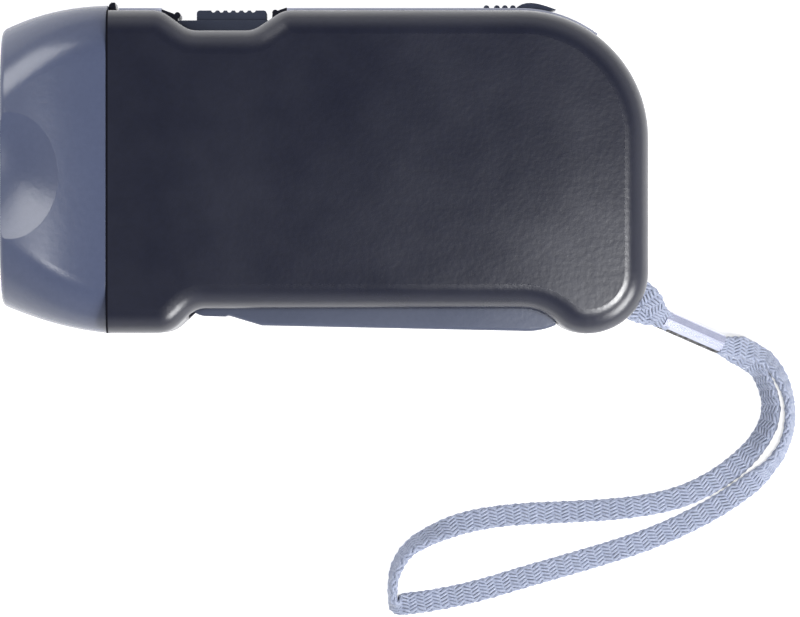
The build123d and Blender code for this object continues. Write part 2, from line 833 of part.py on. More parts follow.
def leds():
    """Three round lamps with a rim at their base."""
    with BuildPart() as lamps:
        with BuildSketch(across(board_front)):
            with Locations(cup_places):
                Circle(led_rim)
        extrude(amount=1.0)
        with BuildSketch(across(board_front)):
            with Locations(cup_places):
                Circle(led_radius)
        extrude(amount=led_length - led_radius)
        for y, z in cup_places:
            with Locations((board_front - led_length + led_radius, head_y + y, mid - z)):
                Sphere(led_radius)
    return lamps.part


def led_board():
    """Circuit board that carries the lamps, held in the casing's neck."""
    with BuildPart() as board:
        with BuildSketch(across(joint_x)):
            RectangleRounded(board_height, board_thickness_z, neck_round - neck_wall)
        extrude(amount=board_depth)
    return board.part


def rectifier_diodes():
    """Four small diodes in a row behind the board."""
    with BuildPart() as diodes:
        for row in range(4):
            with Locations(Location((joint_x + 0.95, head_y - 14.0 + 3.2 * row, mid - 6.0), (0, 0, 0))):
                Cylinder(0.9, 3.8)
    return diodes.part


def smoothing_capacitor():
    """Small upright can behind the board."""
    with BuildPart() as can:
        with BuildSketch(Plane(origin=(joint_x, head_y - 5.0, mid + 6.5), z_dir=(1, 0, 0))):
            Circle(3.0)
        extrude(amount=7.0)
        fillet(can.edges().sort_by(Axis.X)[-1], 0.4)
    return can.part


def battery_pack():
    """Three button cells in one shrink sleeve, with a groove at each seam."""
    cell = battery_height / 3
    with BuildPart() as pack:
        with BuildSketch(Plane.XY.offset(wall + fit_gap)):
            with Locations(battery_centre):
                Circle(battery_radius)
        extrude(amount=battery_height)
        fillet(pack.edges(), 0.6)
        for seam in (1, 2):
            with BuildSketch(Plane.XY.offset(wall + fit_gap + seam * cell - 0.15)):
                with Locations(battery_centre):
                    Circle(battery_radius + 1)
                    Circle(battery_radius - 0.3, mode=Mode.SUBTRACT)
            extrude(amount=0.3, mode=Mode.SUBTRACT)
    return pack.part


def battery_tabs():
    """Nickel strip welded to the upper end of the pack."""
    with BuildPart() as tabs:
        with BuildSketch(Plane.XY.offset(wall + fit_gap + battery_height + 0.02)):
            with Locations(battery_centre):
                SlotOverall(10.0, 4.0)
        extrude(amount=0.25)
    return tabs.part


def strip_piece(draw):
    """A strip drawn in side view and made to the strips' width."""
    with BuildPart() as strip:
        with BuildSketch(Plane.XY.offset(mid - strip_width / 2)):
            draw()
        extrude(amount=strip_width)
    return strip.part


def front_strip():
    """Short pale strip between the head and the switch scoop."""
    return strip_piece(
        lambda: plain_box(
            front_strip_x, front_strip_x + front_strip_length, top_y - strip_seat, top_y + top_proud
        )
    )


def top_strip():
    """Long pale strip along the top, with the lock's track and slot cut into it."""
    with BuildPart() as strip:
        with BuildSketch(Plane.XY.offset(mid - strip_width / 2)):
            round_strip(strip_seat, top_proud, rear_strip_x, strip_end_angle)
        extrude(amount=strip_width)
        with BuildSketch(Plane.XY.offset(mid - lock_width / 2 - 0.1)):
            plain_box(lock_front_x - 0.4, tail_x, track_y, top_y + 3)
        extrude(amount=lock_width + 0.2, mode=Mode.SUBTRACT)
        with BuildSketch(Plane.XY.offset(mid - 1.8)):
            plain_box(lock_leg_x - 0.3, lock_leg_x + lock_leg_length + lock_travel + 0.3, scoop_y, top_y + 3)
        extrude(amount=3.6, mode=Mode.SUBTRACT)
    return strip.part


def back_strip():
    """Dark strip down the tail."""
    return strip_piece(lambda: back_outline(strip_seat, back_proud))


track_y = top_y + top_proud - lock_track


def lock_slider():
    """Sliding lock: ribbed plate with a thumb hump, a leg and a finger below the sector's nose."""
    plate = track_y + fit_gap
    rise = plate + 0.45
    tail = lock_front_x + lock_length
    nose_low = from_pivot(rack_radius + rack_back + nose_height + run_gap, rack_tip_angle - nose_angle - 0.7)
    with BuildPart() as slider:
        with BuildSketch(Plane.XY.offset(mid - lock_width / 2)):
            with BuildLine():
                Polyline(
                    (tail - 0.1, plate + 0.25),
                    (tail - 1.2, plate),
                    (lock_front_x, plate),
                    (lock_front_x, plate + 0.25),
                    (lock_front_x + 0.8, rise),
                    (lock_front_x + 6.0, rise),
                )
                Spline(
                    (lock_front_x + 6.0, rise),
                    (lock_front_x + 7.2, rise + 0.72),
                    (lock_front_x + 9.6, rise + 0.72),
                    (tail - 0.1, plate + 0.25),
                )
            make_face()
            with Locations([(lock_front_x + x, rise) for x in (1.2, 2.9, 4.2, 5.5)]):
                Circle(0.48)
        extrude(amount=lock_width)
        with BuildSketch(Plane.XY.offset(mid - 1.55)):
            plain_box(lock_leg_x, lock_leg_x + lock_leg_length, nose_low[1] - 1.4, plate + 0.2)
            with BuildLine():
                Polyline(
                    nose_low,
                    (lock_leg_x + 1, nose_low[1]),
                    (lock_leg_x + 1, nose_low[1] - 1.4),
                    (nose_low[0] + 1.3, nose_low[1] - 1.4),
                    close=True,
                )
            make_face()
        extrude(amount=3.1)
    return slider.part


def switch_base():
    """Grey plate in the scoop, with a slot for the cap's leg and seats for the contact blades."""
    with BuildPart() as base:
        with BuildSketch(Plane.XY.offset(mid - strip_width / 2)):
            plain_box(base_x, base_x + base_length, base_low, base_top)
        extrude(amount=strip_width)
        with BuildSketch(Plane.XY.offset(mid - 1.8)):
            plain_box(leg_front - switch_travel - 0.3, leg_rear + 0.3, base_low - 1, base_top + 1)
        extrude(amount=3.6, mode=Mode.SUBTRACT)
    return base.part


cap_front = base_x + cap_setback
contact_y = scoop_y - wall - 0.9


def switch_cap():
    """Ribbed sliding button with its leg."""
    low = base_top + fit_gap
    with BuildPart() as cap:
        with BuildSketch(Plane.XY.offset(mid - cap_width / 2)):
            plain_box(cap_front, cap_front + cap_length, low, low + cap_height)
        extrude(amount=cap_width)
        fillet(cap.edges().filter_by(Axis.Z).group_by(Axis.Y)[-1], 0.5)
        ridges = [(cap_front + 2.7 + ridge_pitch * i, low + cap_height + 0.05) for i in range(ridge_count + 1)]
        with BuildSketch(Plane.XY.offset(mid - cap_width / 2)):
            with Locations(ridges):
                Circle(0.38)
        extrude(amount=cap_width, mode=Mode.SUBTRACT)
        with BuildSketch(Plane.XY.offset(mid - 1.5)):
            plain_box(leg_front, leg_rear, contact_y, low + 0.5)
        extrude(amount=3.0)
    return cap.part


def switch_contact():
    """Springy bridge under the cap's leg."""
    with BuildPart() as bridge:
        with BuildSketch(Plane.XY.offset(mid - 4.0)):
            plain_box(leg_front - 0.4, leg_rear + 0.4, contact_y - 0.42, contact_y - 0.02)
        extrude(amount=8.0)
    return bridge.part


def contact_blades():
    """Two fixed strips that the bridge slides over, hung from the casing beside the slot."""
    low = contact_y - 0.42 - run_gap - 0.35
    with BuildPart() as blades:
        for z in (mid - 4.0, mid + 2.6):
            with BuildSketch(Plane.XY.offset(z)):
                plain_box(base_x + 1.0, leg_rear + 1.0, low, low + 0.35)
                plain_box(base_x + 1.0, base_x + 1.5, low, scoop_y - wall - 0.05)
            extrude(amount=1.4)
    return blades.part


def gear_plate(low, reach):
    """Plate with rounded corners around the pillars and the first axle, with the axles' holes."""
    with BuildSketch(Plane.XY.offset(low)) as plate:
        with Locations(pillar_places + [first_axle]):
            Circle(reach)
        make_hull()
        with Locations([first_axle, second_axle, rotor_axle]):
            Circle(axle_radius + 0.02, mode=Mode.SUBTRACT)
    extrude(plate.sketch, amount=plate_depth)


def gear_frame():
    """Lower plate with three pillars and the tube that carries the dynamo's coil."""
    with BuildPart() as frame:
        gear_plate(frame_low, pillar_radius + 1.2)
        with BuildSketch(Plane.XY.offset(frame_low)):
            with Locations(pillar_places):
                Circle(pillar_radius)
        extrude(amount=bridge_low - frame_low)
        with BuildSketch(Plane.XY.offset(frame_low)):
            with Locations(rotor_axle):
                Circle(axle_radius + 1.1)
                Circle(axle_radius + 0.1, mode=Mode.SUBTRACT)
        extrude(amount=cup_high - cup_wall - run_gap - frame_low)
        with BuildSketch(Plane.XY.offset(frame_low)):
            with Locations(pillar_places):
                Circle(0.95)
        extrude(amount=plate_depth, mode=Mode.SUBTRACT)
        with BuildSketch(Plane.XY.offset(bridge_low)):
            with Locations(pillar_places):
                Circle(0.82)
        extrude(amount=-6.0, mode=Mode.SUBTRACT)
    return frame.part


def gear_bridge():
    """Upper plate, screwed to the pillars."""
    with BuildPart() as bridge:
        gear_plate(bridge_low, pillar_radius + 1.2)
        with BuildSketch(Plane.XY.offset(bridge_low)):
            with Locations(pillar_places):
                Circle(1.0)
        extrude(amount=plate_depth, mode=Mode.SUBTRACT)
    return bridge.part


def frame_screws():
    """Three screws through the bridge into the pillars."""
    top = bridge_low + plate_depth
    with BuildPart() as screws:
        with BuildSketch(Plane.XY.offset(top)):
            with Locations(pillar_places):
                Circle(1.7)
        extrude(amount=1.1)
        with BuildSketch(Plane.XY.offset(top)):
            with Locations(pillar_places):
                Circle(0.8)
        extrude(amount=-5.6)
        with BuildSketch(Plane.XY.offset(top + 1.1)):
            with Locations(pillar_places):
                Rectangle(2.2, 0.5)
                Rectangle(0.5, 2.2)
        extrude(amount=-0.6, mode=Mode.SUBTRACT)
    return screws.part


def gear_axles():
    """Three steel pins in the plates. The second has a collar that its gear turns on."""
    with BuildPart() as pins:
        with BuildSketch(Plane.XY.offset(frame_low)):
            with Locations([first_axle, second_axle, rotor_axle]):
                Circle(axle_radius)
        extrude(amount=bridge_low + plate_depth - frame_low)
        with BuildSketch(Plane.XY.offset(clutch_low - 0.7)):
            with Locations(second_axle):
                Circle(1.4)
        extrude(amount=0.4)
    return pins.part


def first_gear():
    """Rack pinion and large gear in one moulding."""
    with BuildPart() as gear:
        with BuildSketch(Plane.XY.offset(first_low)):
            gear_outline(first_axle, rack_pinion_teeth, rack_module, mesh_angle, 1.0, 0.75)
        extrude(amount=large_low - first_low)
        with BuildSketch(Plane.XY.offset(large_low)):
            gear_outline(first_axle, large_teeth, fine_module, second_axle_angle, fine_top, fine_root)
            with Locations([step_from(first_axle, 5.6, 72 * i) for i in range(5)]):
                Circle(1.5, mode=Mode.SUBTRACT)
        extrude(amount=large_face)
        with BuildSketch(Plane.XY.offset(frame_low + plate_depth + run_gap)):
            with Locations(first_axle):
                Circle(2.0)
        extrude(amount=bridge_low - frame_low - plate_depth - 2 * run_gap)
        with BuildSketch(Plane.XY):
            with Locations(first_axle):
                Circle(axle_radius + bearing_gap)
        extrude(amount=thickness, mode=Mode.SUBTRACT)
    return gear.part


def clutch_pinion():
    """Pinion whose upper end is a ring of one-way clutch teeth."""
    mate = second_axle_angle + 180 + 180 / clutch_teeth
    with BuildPart() as pinion:
        with BuildSketch(Plane.XY.offset(clutch_low)):
            gear_outline(second_axle, clutch_teeth, fine_module, mate, fine_top, fine_root)
            with Locations(second_axle):
                Circle(axle_radius + bearing_gap, mode=Mode.SUBTRACT)
        extrude(amount=clutch_high - clutch_low)
    return pinion.part


def second_gear():
    """Gear driven through the clutch, with its hub up to the bridge."""
    with BuildPart() as gear:
        with BuildSketch(Plane.XY.offset(second_low)):
            gear_outline(second_axle, second_teeth, fine_module, rotor_axle_angle, fine_top, fine_root)
        extrude(amount=second_face)
        with BuildSketch(Plane.XY.offset(clutch_high + 0.02)):
            with Locations(second_axle):
                Circle(2.6)
        extrude(amount=second_low - clutch_high)
        with BuildSketch(Plane.XY.offset(second_low)):
            with Locations(second_axle):
                Circle(1.8)
        extrude(amount=bridge_low - run_gap - second_low)
        with BuildSketch(Plane.XY):
            with Locations(second_axle):
                Circle(axle_radius + bearing_gap)
        extrude(amount=thickness, mode=Mode.SUBTRACT)
    return gear.part


def rotor_pinion():
    """Brass pinion on top of the flywheel's hub."""
    mate = rotor_axle_angle + 180 + 180 / rotor_teeth
    with BuildPart() as pinion:
        with BuildSketch(Plane.XY.offset(second_low - 0.4)):
            gear_outline(rotor_axle, rotor_teeth, fine_module, mate, fine_top, fine_root)
            with Locations(rotor_axle):
                Circle(axle_radius + bearing_gap, mode=Mode.SUBTRACT)
        extrude(amount=bridge_low - run_gap - second_low + 0.4)
    return pinion.part


def rotor_cup():
    """Steel flywheel cup with its hub."""
    with BuildPart() as cup:
        with BuildSketch(Plane.XY.offset(cup_low)):
            with Locations(rotor_axle):
                Circle(cup_outer)
        extrude(amount=cup_high - cup_low)
        fillet(cup.edges().sort_by(Axis.Z)[-1], 0.8)
        with BuildSketch(Plane.XY.offset(cup_low)):
            with Locations(rotor_axle):
                Circle(cup_outer - cup_wall)
        extrude(amount=cup_high - cup_wall - cup_low, mode=Mode.SUBTRACT)
        with BuildSketch(Plane.XY.offset(cup_high)):
            with Locations(rotor_axle):
                Circle(1.9)
        extrude(amount=second_low - 0.4 - 0.02 - cup_high)
        with BuildSketch(Plane.XY):
            with Locations(rotor_axle):
                Circle(axle_radius + bearing_gap)
        extrude(amount=thickness, mode=Mode.SUBTRACT)
    return cup.part


magnet_outer = cup_outer - cup_wall - 0.02
magnet_inner = magnet_outer - magnet_wall
claw_outer = magnet_inner - magnet_gap
claw_low = frame_low + plate_depth + 1.0
claw_high = cup_high - cup_wall - 1.6


def rotor_magnet():
    """Ring magnet inside the cup."""
    with BuildPart() as magnet:
        with BuildSketch(Plane.XY.offset(cup_low + 0.3)):
            with Locations(rotor_axle):
                Circle(magnet_outer)
                Circle(magnet_inner, mode=Mode.SUBTRACT)
        extrude(amount=cup_high - cup_wall - cup_low - 0.32)
    return magnet.part


def stator_claws():
    """Two iron discs whose fingers reach past each other around the coil."""
    tube = axle_radius + 1.1 + fit_gap
    with BuildPart() as claws:
        for low, up, turn in ((claw_low, 1, 0.0), (claw_high, -1, 180.0 / claw_count)):
            with BuildSketch(Plane.XY.offset(low)):
                with Locations(rotor_axle):
                    Circle(claw_outer)
                    Circle(tube, mode=Mode.SUBTRACT)
            extrude(amount=claw_depth)
            start = low + claw_depth if up > 0 else low
            length = claw_high - claw_low - claw_depth - 0.8
            with BuildSketch(Plane.XY.offset(start)):
                with Locations(rotor_axle):
                    with PolarLocations(claw_outer - 0.45, claw_count, start_angle=turn):
                        Rectangle(0.75, 1.4)
            extrude(amount=up * length)
    return claws.part


def coil_bobbin():
    """Plastic spool on the frame's tube, with a tab for the coil's leads."""
    tube = axle_radius + 1.1 + fit_gap
    low = claw_low + claw_depth + 0.02
    high = claw_high - 0.02
    seat = frame_low + plate_depth + 0.02
    with BuildPart() as bobbin:
        with BuildSketch(Plane.XY.offset(low)):
            with Locations(rotor_axle):
                Circle(tube + 0.7)
        extrude(amount=high - low)
        for flange in (low, high - 0.6):
            with BuildSketch(Plane.XY.offset(flange)):
                with Locations(rotor_axle):
                    Circle(bobbin_radius)
            extrude(amount=0.6)
        with BuildSketch(Plane.XY):
            with Locations(rotor_axle):
                Circle(tube)
        extrude(amount=thickness, mode=Mode.SUBTRACT)
    with BuildPart() as foot:
        with BuildSketch(Plane.XY.offset(seat)):
            with Locations(rotor_axle):
                Circle(4.0)
            with Locations(step_from(rotor_axle, 7.0, lead_angle)):
                Rectangle(9.0, 3.6, rotation=lead_angle)
            with Locations(rotor_axle):
                Circle(tube, mode=Mode.SUBTRACT)
        extrude(amount=claw_low - seat - 0.02)
    return bobbin.part, foot.part


lead_angle = 250.0


def coil_winding():
    """Copper winding between the spool's flanges."""
    low = claw_low + claw_depth + 0.64
    high = claw_high - 0.64
    with BuildPart() as coil:
        with BuildSketch(Plane.XY.offset(low)):
            with Locations(rotor_axle):
                Circle(bobbin_radius - 0.3)
                Circle(axle_radius + 1.1 + fit_gap + 0.72, mode=Mode.SUBTRACT)
        extrude(amount=high - low)
    return coil.part


def housing_screws():
    """Five self-tapping screws that enter from the lower side."""
    with BuildPart() as screws:
        with BuildSketch(Plane.XY.offset(11.0)):
            with Locations(screw_places):
                Circle(screw_head)
        extrude(amount=-1.9)
        with BuildSketch(Plane.XY.offset(11.0)):
            with Locations(screw_places):
                Circle(screw_shank)
        extrude(amount=18.0)
        with BuildSketch(Plane.XY.offset(9.1)):
            with Locations(screw_places):
                Rectangle(3.0, 0.7)
                Rectangle(0.7, 3.0)
        extrude(amount=0.9, mode=Mode.SUBTRACT)
    return screws.part


def strap_pin_piece():
    """Steel pin that the strap is looped around."""
    with BuildPart() as pin:
        with BuildSketch(Plane.XY.offset(mid - 7.9)):
            with Locations(strap_pin):
                Circle(strap_pin_radius)
        extrude(amount=15.8)
    return pin.part


def tube_along(points, radius):
    """A round tube along straight runs joined by tangent arcs, and its centre line's length."""
    corners = [Vector(*p) for p in points]
    radii = []
    for before, here, after in zip(corners, corners[1:], corners[2:]):
        turn = math.radians((here - before).get_angle(after - here))
        shorter = min((here - before).length, (after - here).length)
        radii.append(0.45 * shorter / math.tan(turn / 2))
    with BuildPart() as tube:
        with BuildLine() as line:
            FilletPolyline(*corners, radius=radii)
        with BuildSketch(Plane(origin=corners[0], z_dir=corners[1] - corners[0])):
            Circle(radius)
        sweep()
    return tube.part, line.wire().length, radii


def ferrule_axes():
    """The crimp's own directions: along it, level across it, and up out of its flat side."""
    along = (ferrule_rear - ferrule_front).normalized()
    across_it = Vector(0, 0, 1).cross(along).normalized()
    return along, across_it, along.cross(across_it)


def strap_neck_points():
    """From the crimp through the casing's slot, around the pin and back."""
    along, _, up = ferrule_axes()
    reach = strap_pin_radius + strap_tube / 2 + 0.1
    angle = math.radians(strap_exit_angle)
    out = Vector(math.cos(angle), math.sin(angle), 0)
    level_side = Vector(-math.sin(angle), math.cos(angle), 0)
    pin = Vector(strap_pin[0], strap_pin[1], mid)
    leave = pin + out * 6.2
    points = []
    for sign in (1, -1):
        points.append(
            [
                ferrule_front + up * sign * ply_offset,
                ferrule_front + up * sign * ply_offset - along * 1.2,
                leave + level_side * sign * exit_spread + Vector(0, 0, 0.5 * sign),
                pin + level_side * sign * reach - out * reach,
            ]
        )
    return points[0] + points[1][::-1]


def strap_loop_points():
    """From the crimp's far end around the loop on the floor and back."""
    along, _, up = ferrule_axes()
    start = ferrule_rear + up * ply_offset
    end = ferrule_rear - up * ply_offset
    return [start, start + along * 1.2] + [Vector(*p) for p in strap_outer] + [end + along * 1.2, end]


def strap_ferrule():
    """Folded metal crimp around both plies."""
    along, side, _ = ferrule_axes()
    length = (ferrule_rear - ferrule_front).length
    with BuildPart() as crimp:
        with BuildSketch(Plane(origin=ferrule_front, x_dir=side, z_dir=along)):
            RectangleRounded(ferrule_width, ferrule_height, 0.7)
        extrude(amount=length)
    return crimp.part


def wire_routes():
    """Leads from the board to the battery, the switch and the coil."""
    lead = math.radians(lead_angle)
    end = step_from(rotor_axle, 11.5 + 0.05, lead_angle)
    before = step_from(rotor_axle, 15.0, lead_angle)
    routes = []
    for z, y in ((12.0, 8.0), (8.0, 2.0)):
        routes.append(
            [
                (joint_x, y, z),
                (joint_x + 4.5, y, z),
                (battery_centre[0] - battery_radius - 3.0, battery_centre[1] + 0.3, z),
                (battery_centre[0] - battery_radius - 0.05, battery_centre[1], z),
            ]
        )
    for z in (mid - 3.3, mid + 3.3):
        routes.append(
            [
                (joint_x, top_y - 13.5, z),
                (joint_x + 8.0, top_y - 13.5, z),
                (base_x - 1.5, contact_y - 0.9, z),
                (base_x + 0.95, contact_y - 0.9, z),
            ]
        )
    for side in (-0.8, 0.8):
        dx = math.sin(lead) * side
        dy = -math.cos(lead) * side
        routes.append(
            [
                (joint_x, head_y - 8.0 + side, 8.5),
                (joint_x + 6.0, head_y - 8.0 + side, 8.5),
                (joint_x + 12.0, pillar_places[0][1] - 3.6 + side, 8.5),
                (pillar_places[0][0], pillar_places[0][1] - 3.6 + side, 8.5),
                (before[0] + dx, before[1] + dy, 8.5),
                (end[0] + dx, end[1] + dy, 8.5),
            ]
        )
    return routes


def main():
    os.makedirs("parts", exist_ok=True)
    save(casing_half(True), "upper_shell")
    save(casing_half(False), "lower_shell")
    save(front_strip(), "front_strip")
    save(top_strip(), "top_strip")
    save(back_strip(), "back_strip")
    save(head_bezel(), "head_bezel")
    save(lens(), "lens")
    save(lens_seal(), "lens_seal")
    save(reflector(), "reflector")
    save(leds(), "leds")
    save(led_board(), "led_board")
    save(rectifier_diodes(), "rectifier_diodes")
    save(smoothing_capacitor(), "smoothing_capacitor")
    save(battery_pack(), "battery_pack")
    save(battery_tabs(), "battery_tabs")
    save(squeeze_lever(), "squeeze_lever")
    save(sector_rack(), "sector_rack")
    save(rack_rivets(), "rack_rivets")
    save(pivot_pin(), "lever_pin")
    save(lever_spring(), "lever_spring")
    save(first_gear(), "first_gear")
    save(clutch_pinion(), "clutch_pinion")
    save(second_gear(), "second_gear")
    save(rotor_pinion(), "rotor_pinion")
    save(rotor_cup(), "rotor_cup")
    save(rotor_magnet(), "rotor_magnet")
    save(stator_claws(), "stator_claws")
    bobbin, foot = coil_bobbin()
    save(bobbin, "coil_bobbin")
    save(foot, "coil_terminal")
    save(coil_winding(), "coil_winding")
    save(gear_frame(), "gear_frame")
    save(gear_bridge(), "gear_bridge")
    save(gear_axles(), "gear_axles")
    save(frame_screws(), "frame_screws")
    save(housing_screws(), "housing_screws")
    save(switch_base(), "switch_base")
    save(switch_cap(), "switch_cap")
    save(switch_contact(), "switch_contact")
    save(contact_blades(), "contact_blades")
    save(lock_slider(), "lock_slider")
    save(strap_pin_piece(), "strap_pin")
    save(strap_ferrule(), "strap_ferrule")
    for name, points in (("strap_neck", strap_neck_points()), ("strap_loop", strap_loop_points())):
        tube, length, radii = tube_along(points, strap_tube / 2)
        save(tube, name)
        print(name, "length", round(length, 2), "volume", round(tube.volume, 2))
        print("  section x length", round(math.pi * strap_tube**2 / 4 * length, 2))
        print("  radii", [round(r, 1) for r in radii])
    with BuildPart() as wires:
        for route in wire_routes():
            add(tube_along(route, 0.45)[0])
    save(wires.part, "inner_wires")


if __name__ == "__main__":
    main()
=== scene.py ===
# %% [markdown]
# # A squeeze-lever flashlight, dressed for its picture
# The solids come from the frame: casing halves, head, lever, switch, lock and everything inside them.
# This lesson gives them their finishes, and makes the parts that a plain solid can't show:
# the braided strap, its folded crimp and a near-black band that paints the shadow in the seam behind the
# head.

import json
import math

import bmesh
import bpy
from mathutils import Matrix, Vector


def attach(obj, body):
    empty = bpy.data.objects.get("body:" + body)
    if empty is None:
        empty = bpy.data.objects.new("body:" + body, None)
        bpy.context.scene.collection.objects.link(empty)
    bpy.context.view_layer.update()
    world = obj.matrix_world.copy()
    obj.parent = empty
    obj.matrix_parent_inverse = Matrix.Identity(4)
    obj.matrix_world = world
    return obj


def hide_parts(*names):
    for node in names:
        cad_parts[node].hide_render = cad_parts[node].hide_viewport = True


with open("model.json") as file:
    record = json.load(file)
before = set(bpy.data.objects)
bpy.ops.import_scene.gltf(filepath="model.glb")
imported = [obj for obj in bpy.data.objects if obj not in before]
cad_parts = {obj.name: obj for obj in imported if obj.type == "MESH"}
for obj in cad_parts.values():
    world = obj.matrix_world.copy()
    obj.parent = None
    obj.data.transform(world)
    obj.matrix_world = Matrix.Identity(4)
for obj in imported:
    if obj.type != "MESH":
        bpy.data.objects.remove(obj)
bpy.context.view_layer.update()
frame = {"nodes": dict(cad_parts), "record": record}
MM = 0.001
THICKNESS = 38  # in millimetres, from the flat side that it lies on to the upper one

# %% [markdown]
# ## Camera
# The flashlight lies on its side and is seen from straight above, with almost no perspective.
# A long lens far away gives that. Its distance and focal length together set how many
# millimetres the picture is wide, at the height of the casing's upper face.

# %% Camera straight above
FRAME_CENTRE = (12.13 * MM, -22.63 * MM)
CAMERA_HEIGHT = 1.300
UPPER_FACE = 33 * MM
FRAME_WIDTH = 129.2 * MM
camera_data = bpy.data.cameras.new("camera")
camera_data.sensor_width = 36
camera_data.lens = camera_data.sensor_width * (CAMERA_HEIGHT - UPPER_FACE) / FRAME_WIDTH
camera = bpy.data.objects.new("camera", camera_data)
camera.location = (*FRAME_CENTRE, CAMERA_HEIGHT)
bpy.context.scene.collection.objects.link(camera)
bpy.context.scene.camera = camera
print("lens:", round(camera_data.lens, 1), "mm")

# %% [markdown]
# ## Floor, world and lamps
# The ground is plain and white. A little of its white is given only to camera, glossy and
# transmission rays, so that the ground reads as white while the lamps stay at a plain level
# and the object keeps its soft shadow.
#
# Two large lamps, low on the right and low on the left, light the whole. Glossy black plastic
# shows little but what it mirrors, so two small, weak lamps are added for it. One gives the soft
# sheen over the heel of the casing, the other the light patch on the head. What the plastic
# mirrors of the sky is white near the ground and darker overhead, so that its flat faces stay black.


# %% Node helpers
def new_material(name):
    """A material, its node tree and its main shader."""
    material = bpy.data.materials.new(name)
    material.use_nodes = True
    tree = material.node_tree
    return material, tree, tree.nodes["Principled BSDF"]


def add_node(tree, kind, inputs=None, **settings):
    """A node with its settings, constants and links. An input is a number, a colour or a socket."""
    node = tree.nodes.new(kind)
    for key, value in settings.items():
        setattr(node, key, value)
    for key, value in (inputs or {}).items():
        if isinstance(value, bpy.types.NodeSocket):
            tree.links.new(value, node.inputs[key])
        else:
            node.inputs[key].default_value = value
    return node


def seen_rays(tree):
    """1 for rays from the camera, a mirror or a lens, and 0 for light itself."""
    path = add_node(tree, "ShaderNodeLightPath")
    first = add_node(
        tree,
        "ShaderNodeMath",
        {0: path.outputs["Is Camera Ray"], 1: path.outputs["Is Glossy Ray"]},
        operation="MAXIMUM",
    )
    return add_node(
        tree,
        "ShaderNodeMath",
        {0: first.outputs[0], 1: path.outputs["Is Transmission Ray"]},
        operation="MAXIMUM",
    ).outputs[0]


def moved_range(tree, value, low, high, start=0.0, end=1.0):
    """A value between start and end, moved to between low and high."""
    return add_node(
        tree,
        "ShaderNodeMapRange",
        {"Value": value, "From Min": start, "From Max": end, "To Min": low, "To Max": high},
    ).outputs[0]


def multiplied(tree, first, second):
    """A colour times another colour or a number."""
    return add_node(
        tree,
        "ShaderNodeMix",
        {"Factor": 1.0, "A": first, "B": second},
        data_type="RGBA",
        blend_type="MULTIPLY",
    ).outputs["Result"]


# %% White ground
FLOOR_COLOUR = (0.86, 0.86, 0.87, 1)
FLOOR_GLOW = 0.62
FLOOR_SIZE = 6.0
floor_material, tree, shader = new_material("floor_white")
shader.inputs["Base Color"].default_value = FLOOR_COLOUR
shader.inputs["Roughness"].default_value = 0.9
shader.inputs["Specular IOR Level"].default_value = 0.0
glow = add_node(tree, "ShaderNodeEmission", {"Color": (1, 1, 1, 1), "Strength": FLOOR_GLOW})
dark = add_node(tree, "ShaderNodeEmission", {"Color": (0, 0, 0, 1), "Strength": 0.0})
pick = add_node(tree, "ShaderNodeMixShader", {0: seen_rays(tree), 1: dark.outputs[0], 2: glow.outputs[0]})
total = add_node(tree, "ShaderNodeAddShader", {0: shader.outputs[0], 1: pick.outputs[0]})
tree.links.new(total.outputs[0], tree.nodes["Material Output"].inputs["Surface"])

bm = bmesh.new()
bmesh.ops.create_grid(bm, x_segments=2, y_segments=2, size=FLOOR_SIZE / 2)
floor_mesh = bpy.data.meshes.new("floor")
bm.to_mesh(floor_mesh)
bm.free()
floor = bpy.data.objects.new("floor", floor_mesh)
floor_mesh.materials.append(floor_material)
bpy.context.scene.collection.objects.link(floor)
print("ground:", FLOOR_SIZE, "m wide")

# %% World
WORLD_COLOUR = (0.93, 0.94, 1.0, 1)
WORLD_LIGHT = 0.26
WORLD_LOW = 1.0
WORLD_OVERHEAD = 0.1
LOW_HEIGHT, OVERHEAD_HEIGHT = 0.35, 0.9
world = bpy.data.worlds.new("studio")
world.use_nodes = True
bpy.context.scene.world = world
sky = world.node_tree
background = sky.nodes["Background"]
direction = add_node(sky, "ShaderNodeTexCoord").outputs["Generated"]
height = add_node(sky, "ShaderNodeSeparateXYZ", {0: direction}).outputs["Z"]
mirrored = moved_range(sky, height, WORLD_LOW, WORLD_OVERHEAD, LOW_HEIGHT, OVERHEAD_HEIGHT)
strength = moved_range(sky, seen_rays(sky), WORLD_LIGHT, mirrored)
background.inputs["Color"].default_value = WORLD_COLOUR
sky.links.new(strength, background.inputs["Strength"])
print("world: light", WORLD_LIGHT, "and, where it is seen, from", WORLD_LOW, "to", WORLD_OVERHEAD)

# %% Lamps: place, target and size in metres, power in watts
LAMPS = {
    "key": ((0.52, -0.42, 0.42), (0.03, -0.03, 0.02), (0.4, 0.3), 5.2),
    "left": ((-0.55, 0.3, 0.42), (-0.02, -0.01, 0.02), (0.4, 0.4), 3.4),
    "heel_sheen": ((0.088, -0.05, 0.22), (0.04, -0.018, 0.038), (0.025, 0.025), 0.24),
    "head_sheen": ((-0.165, -0.032, 0.27), (-0.045, -0.02, 0.03), (0.05, 0.022), 0.08),
}


def area_lamp(name, place, target, size, power):
    """A rectangular lamp at a place, turned to its target."""
    data = bpy.data.lights.new(name, "AREA")
    data.shape = "RECTANGLE"
    data.size, data.size_y = size
    data.energy = power
    lamp = bpy.data.objects.new(name, data)
    lamp.location = place
    lamp.rotation_euler = (Vector(target) - Vector(place)).to_track_quat("-Z", "Y").to_euler()
    bpy.context.scene.collection.objects.link(lamp)


for name, settings in LAMPS.items():
    area_lamp(name, *settings)
bpy.context.scene.view_settings.view_transform = "Standard"
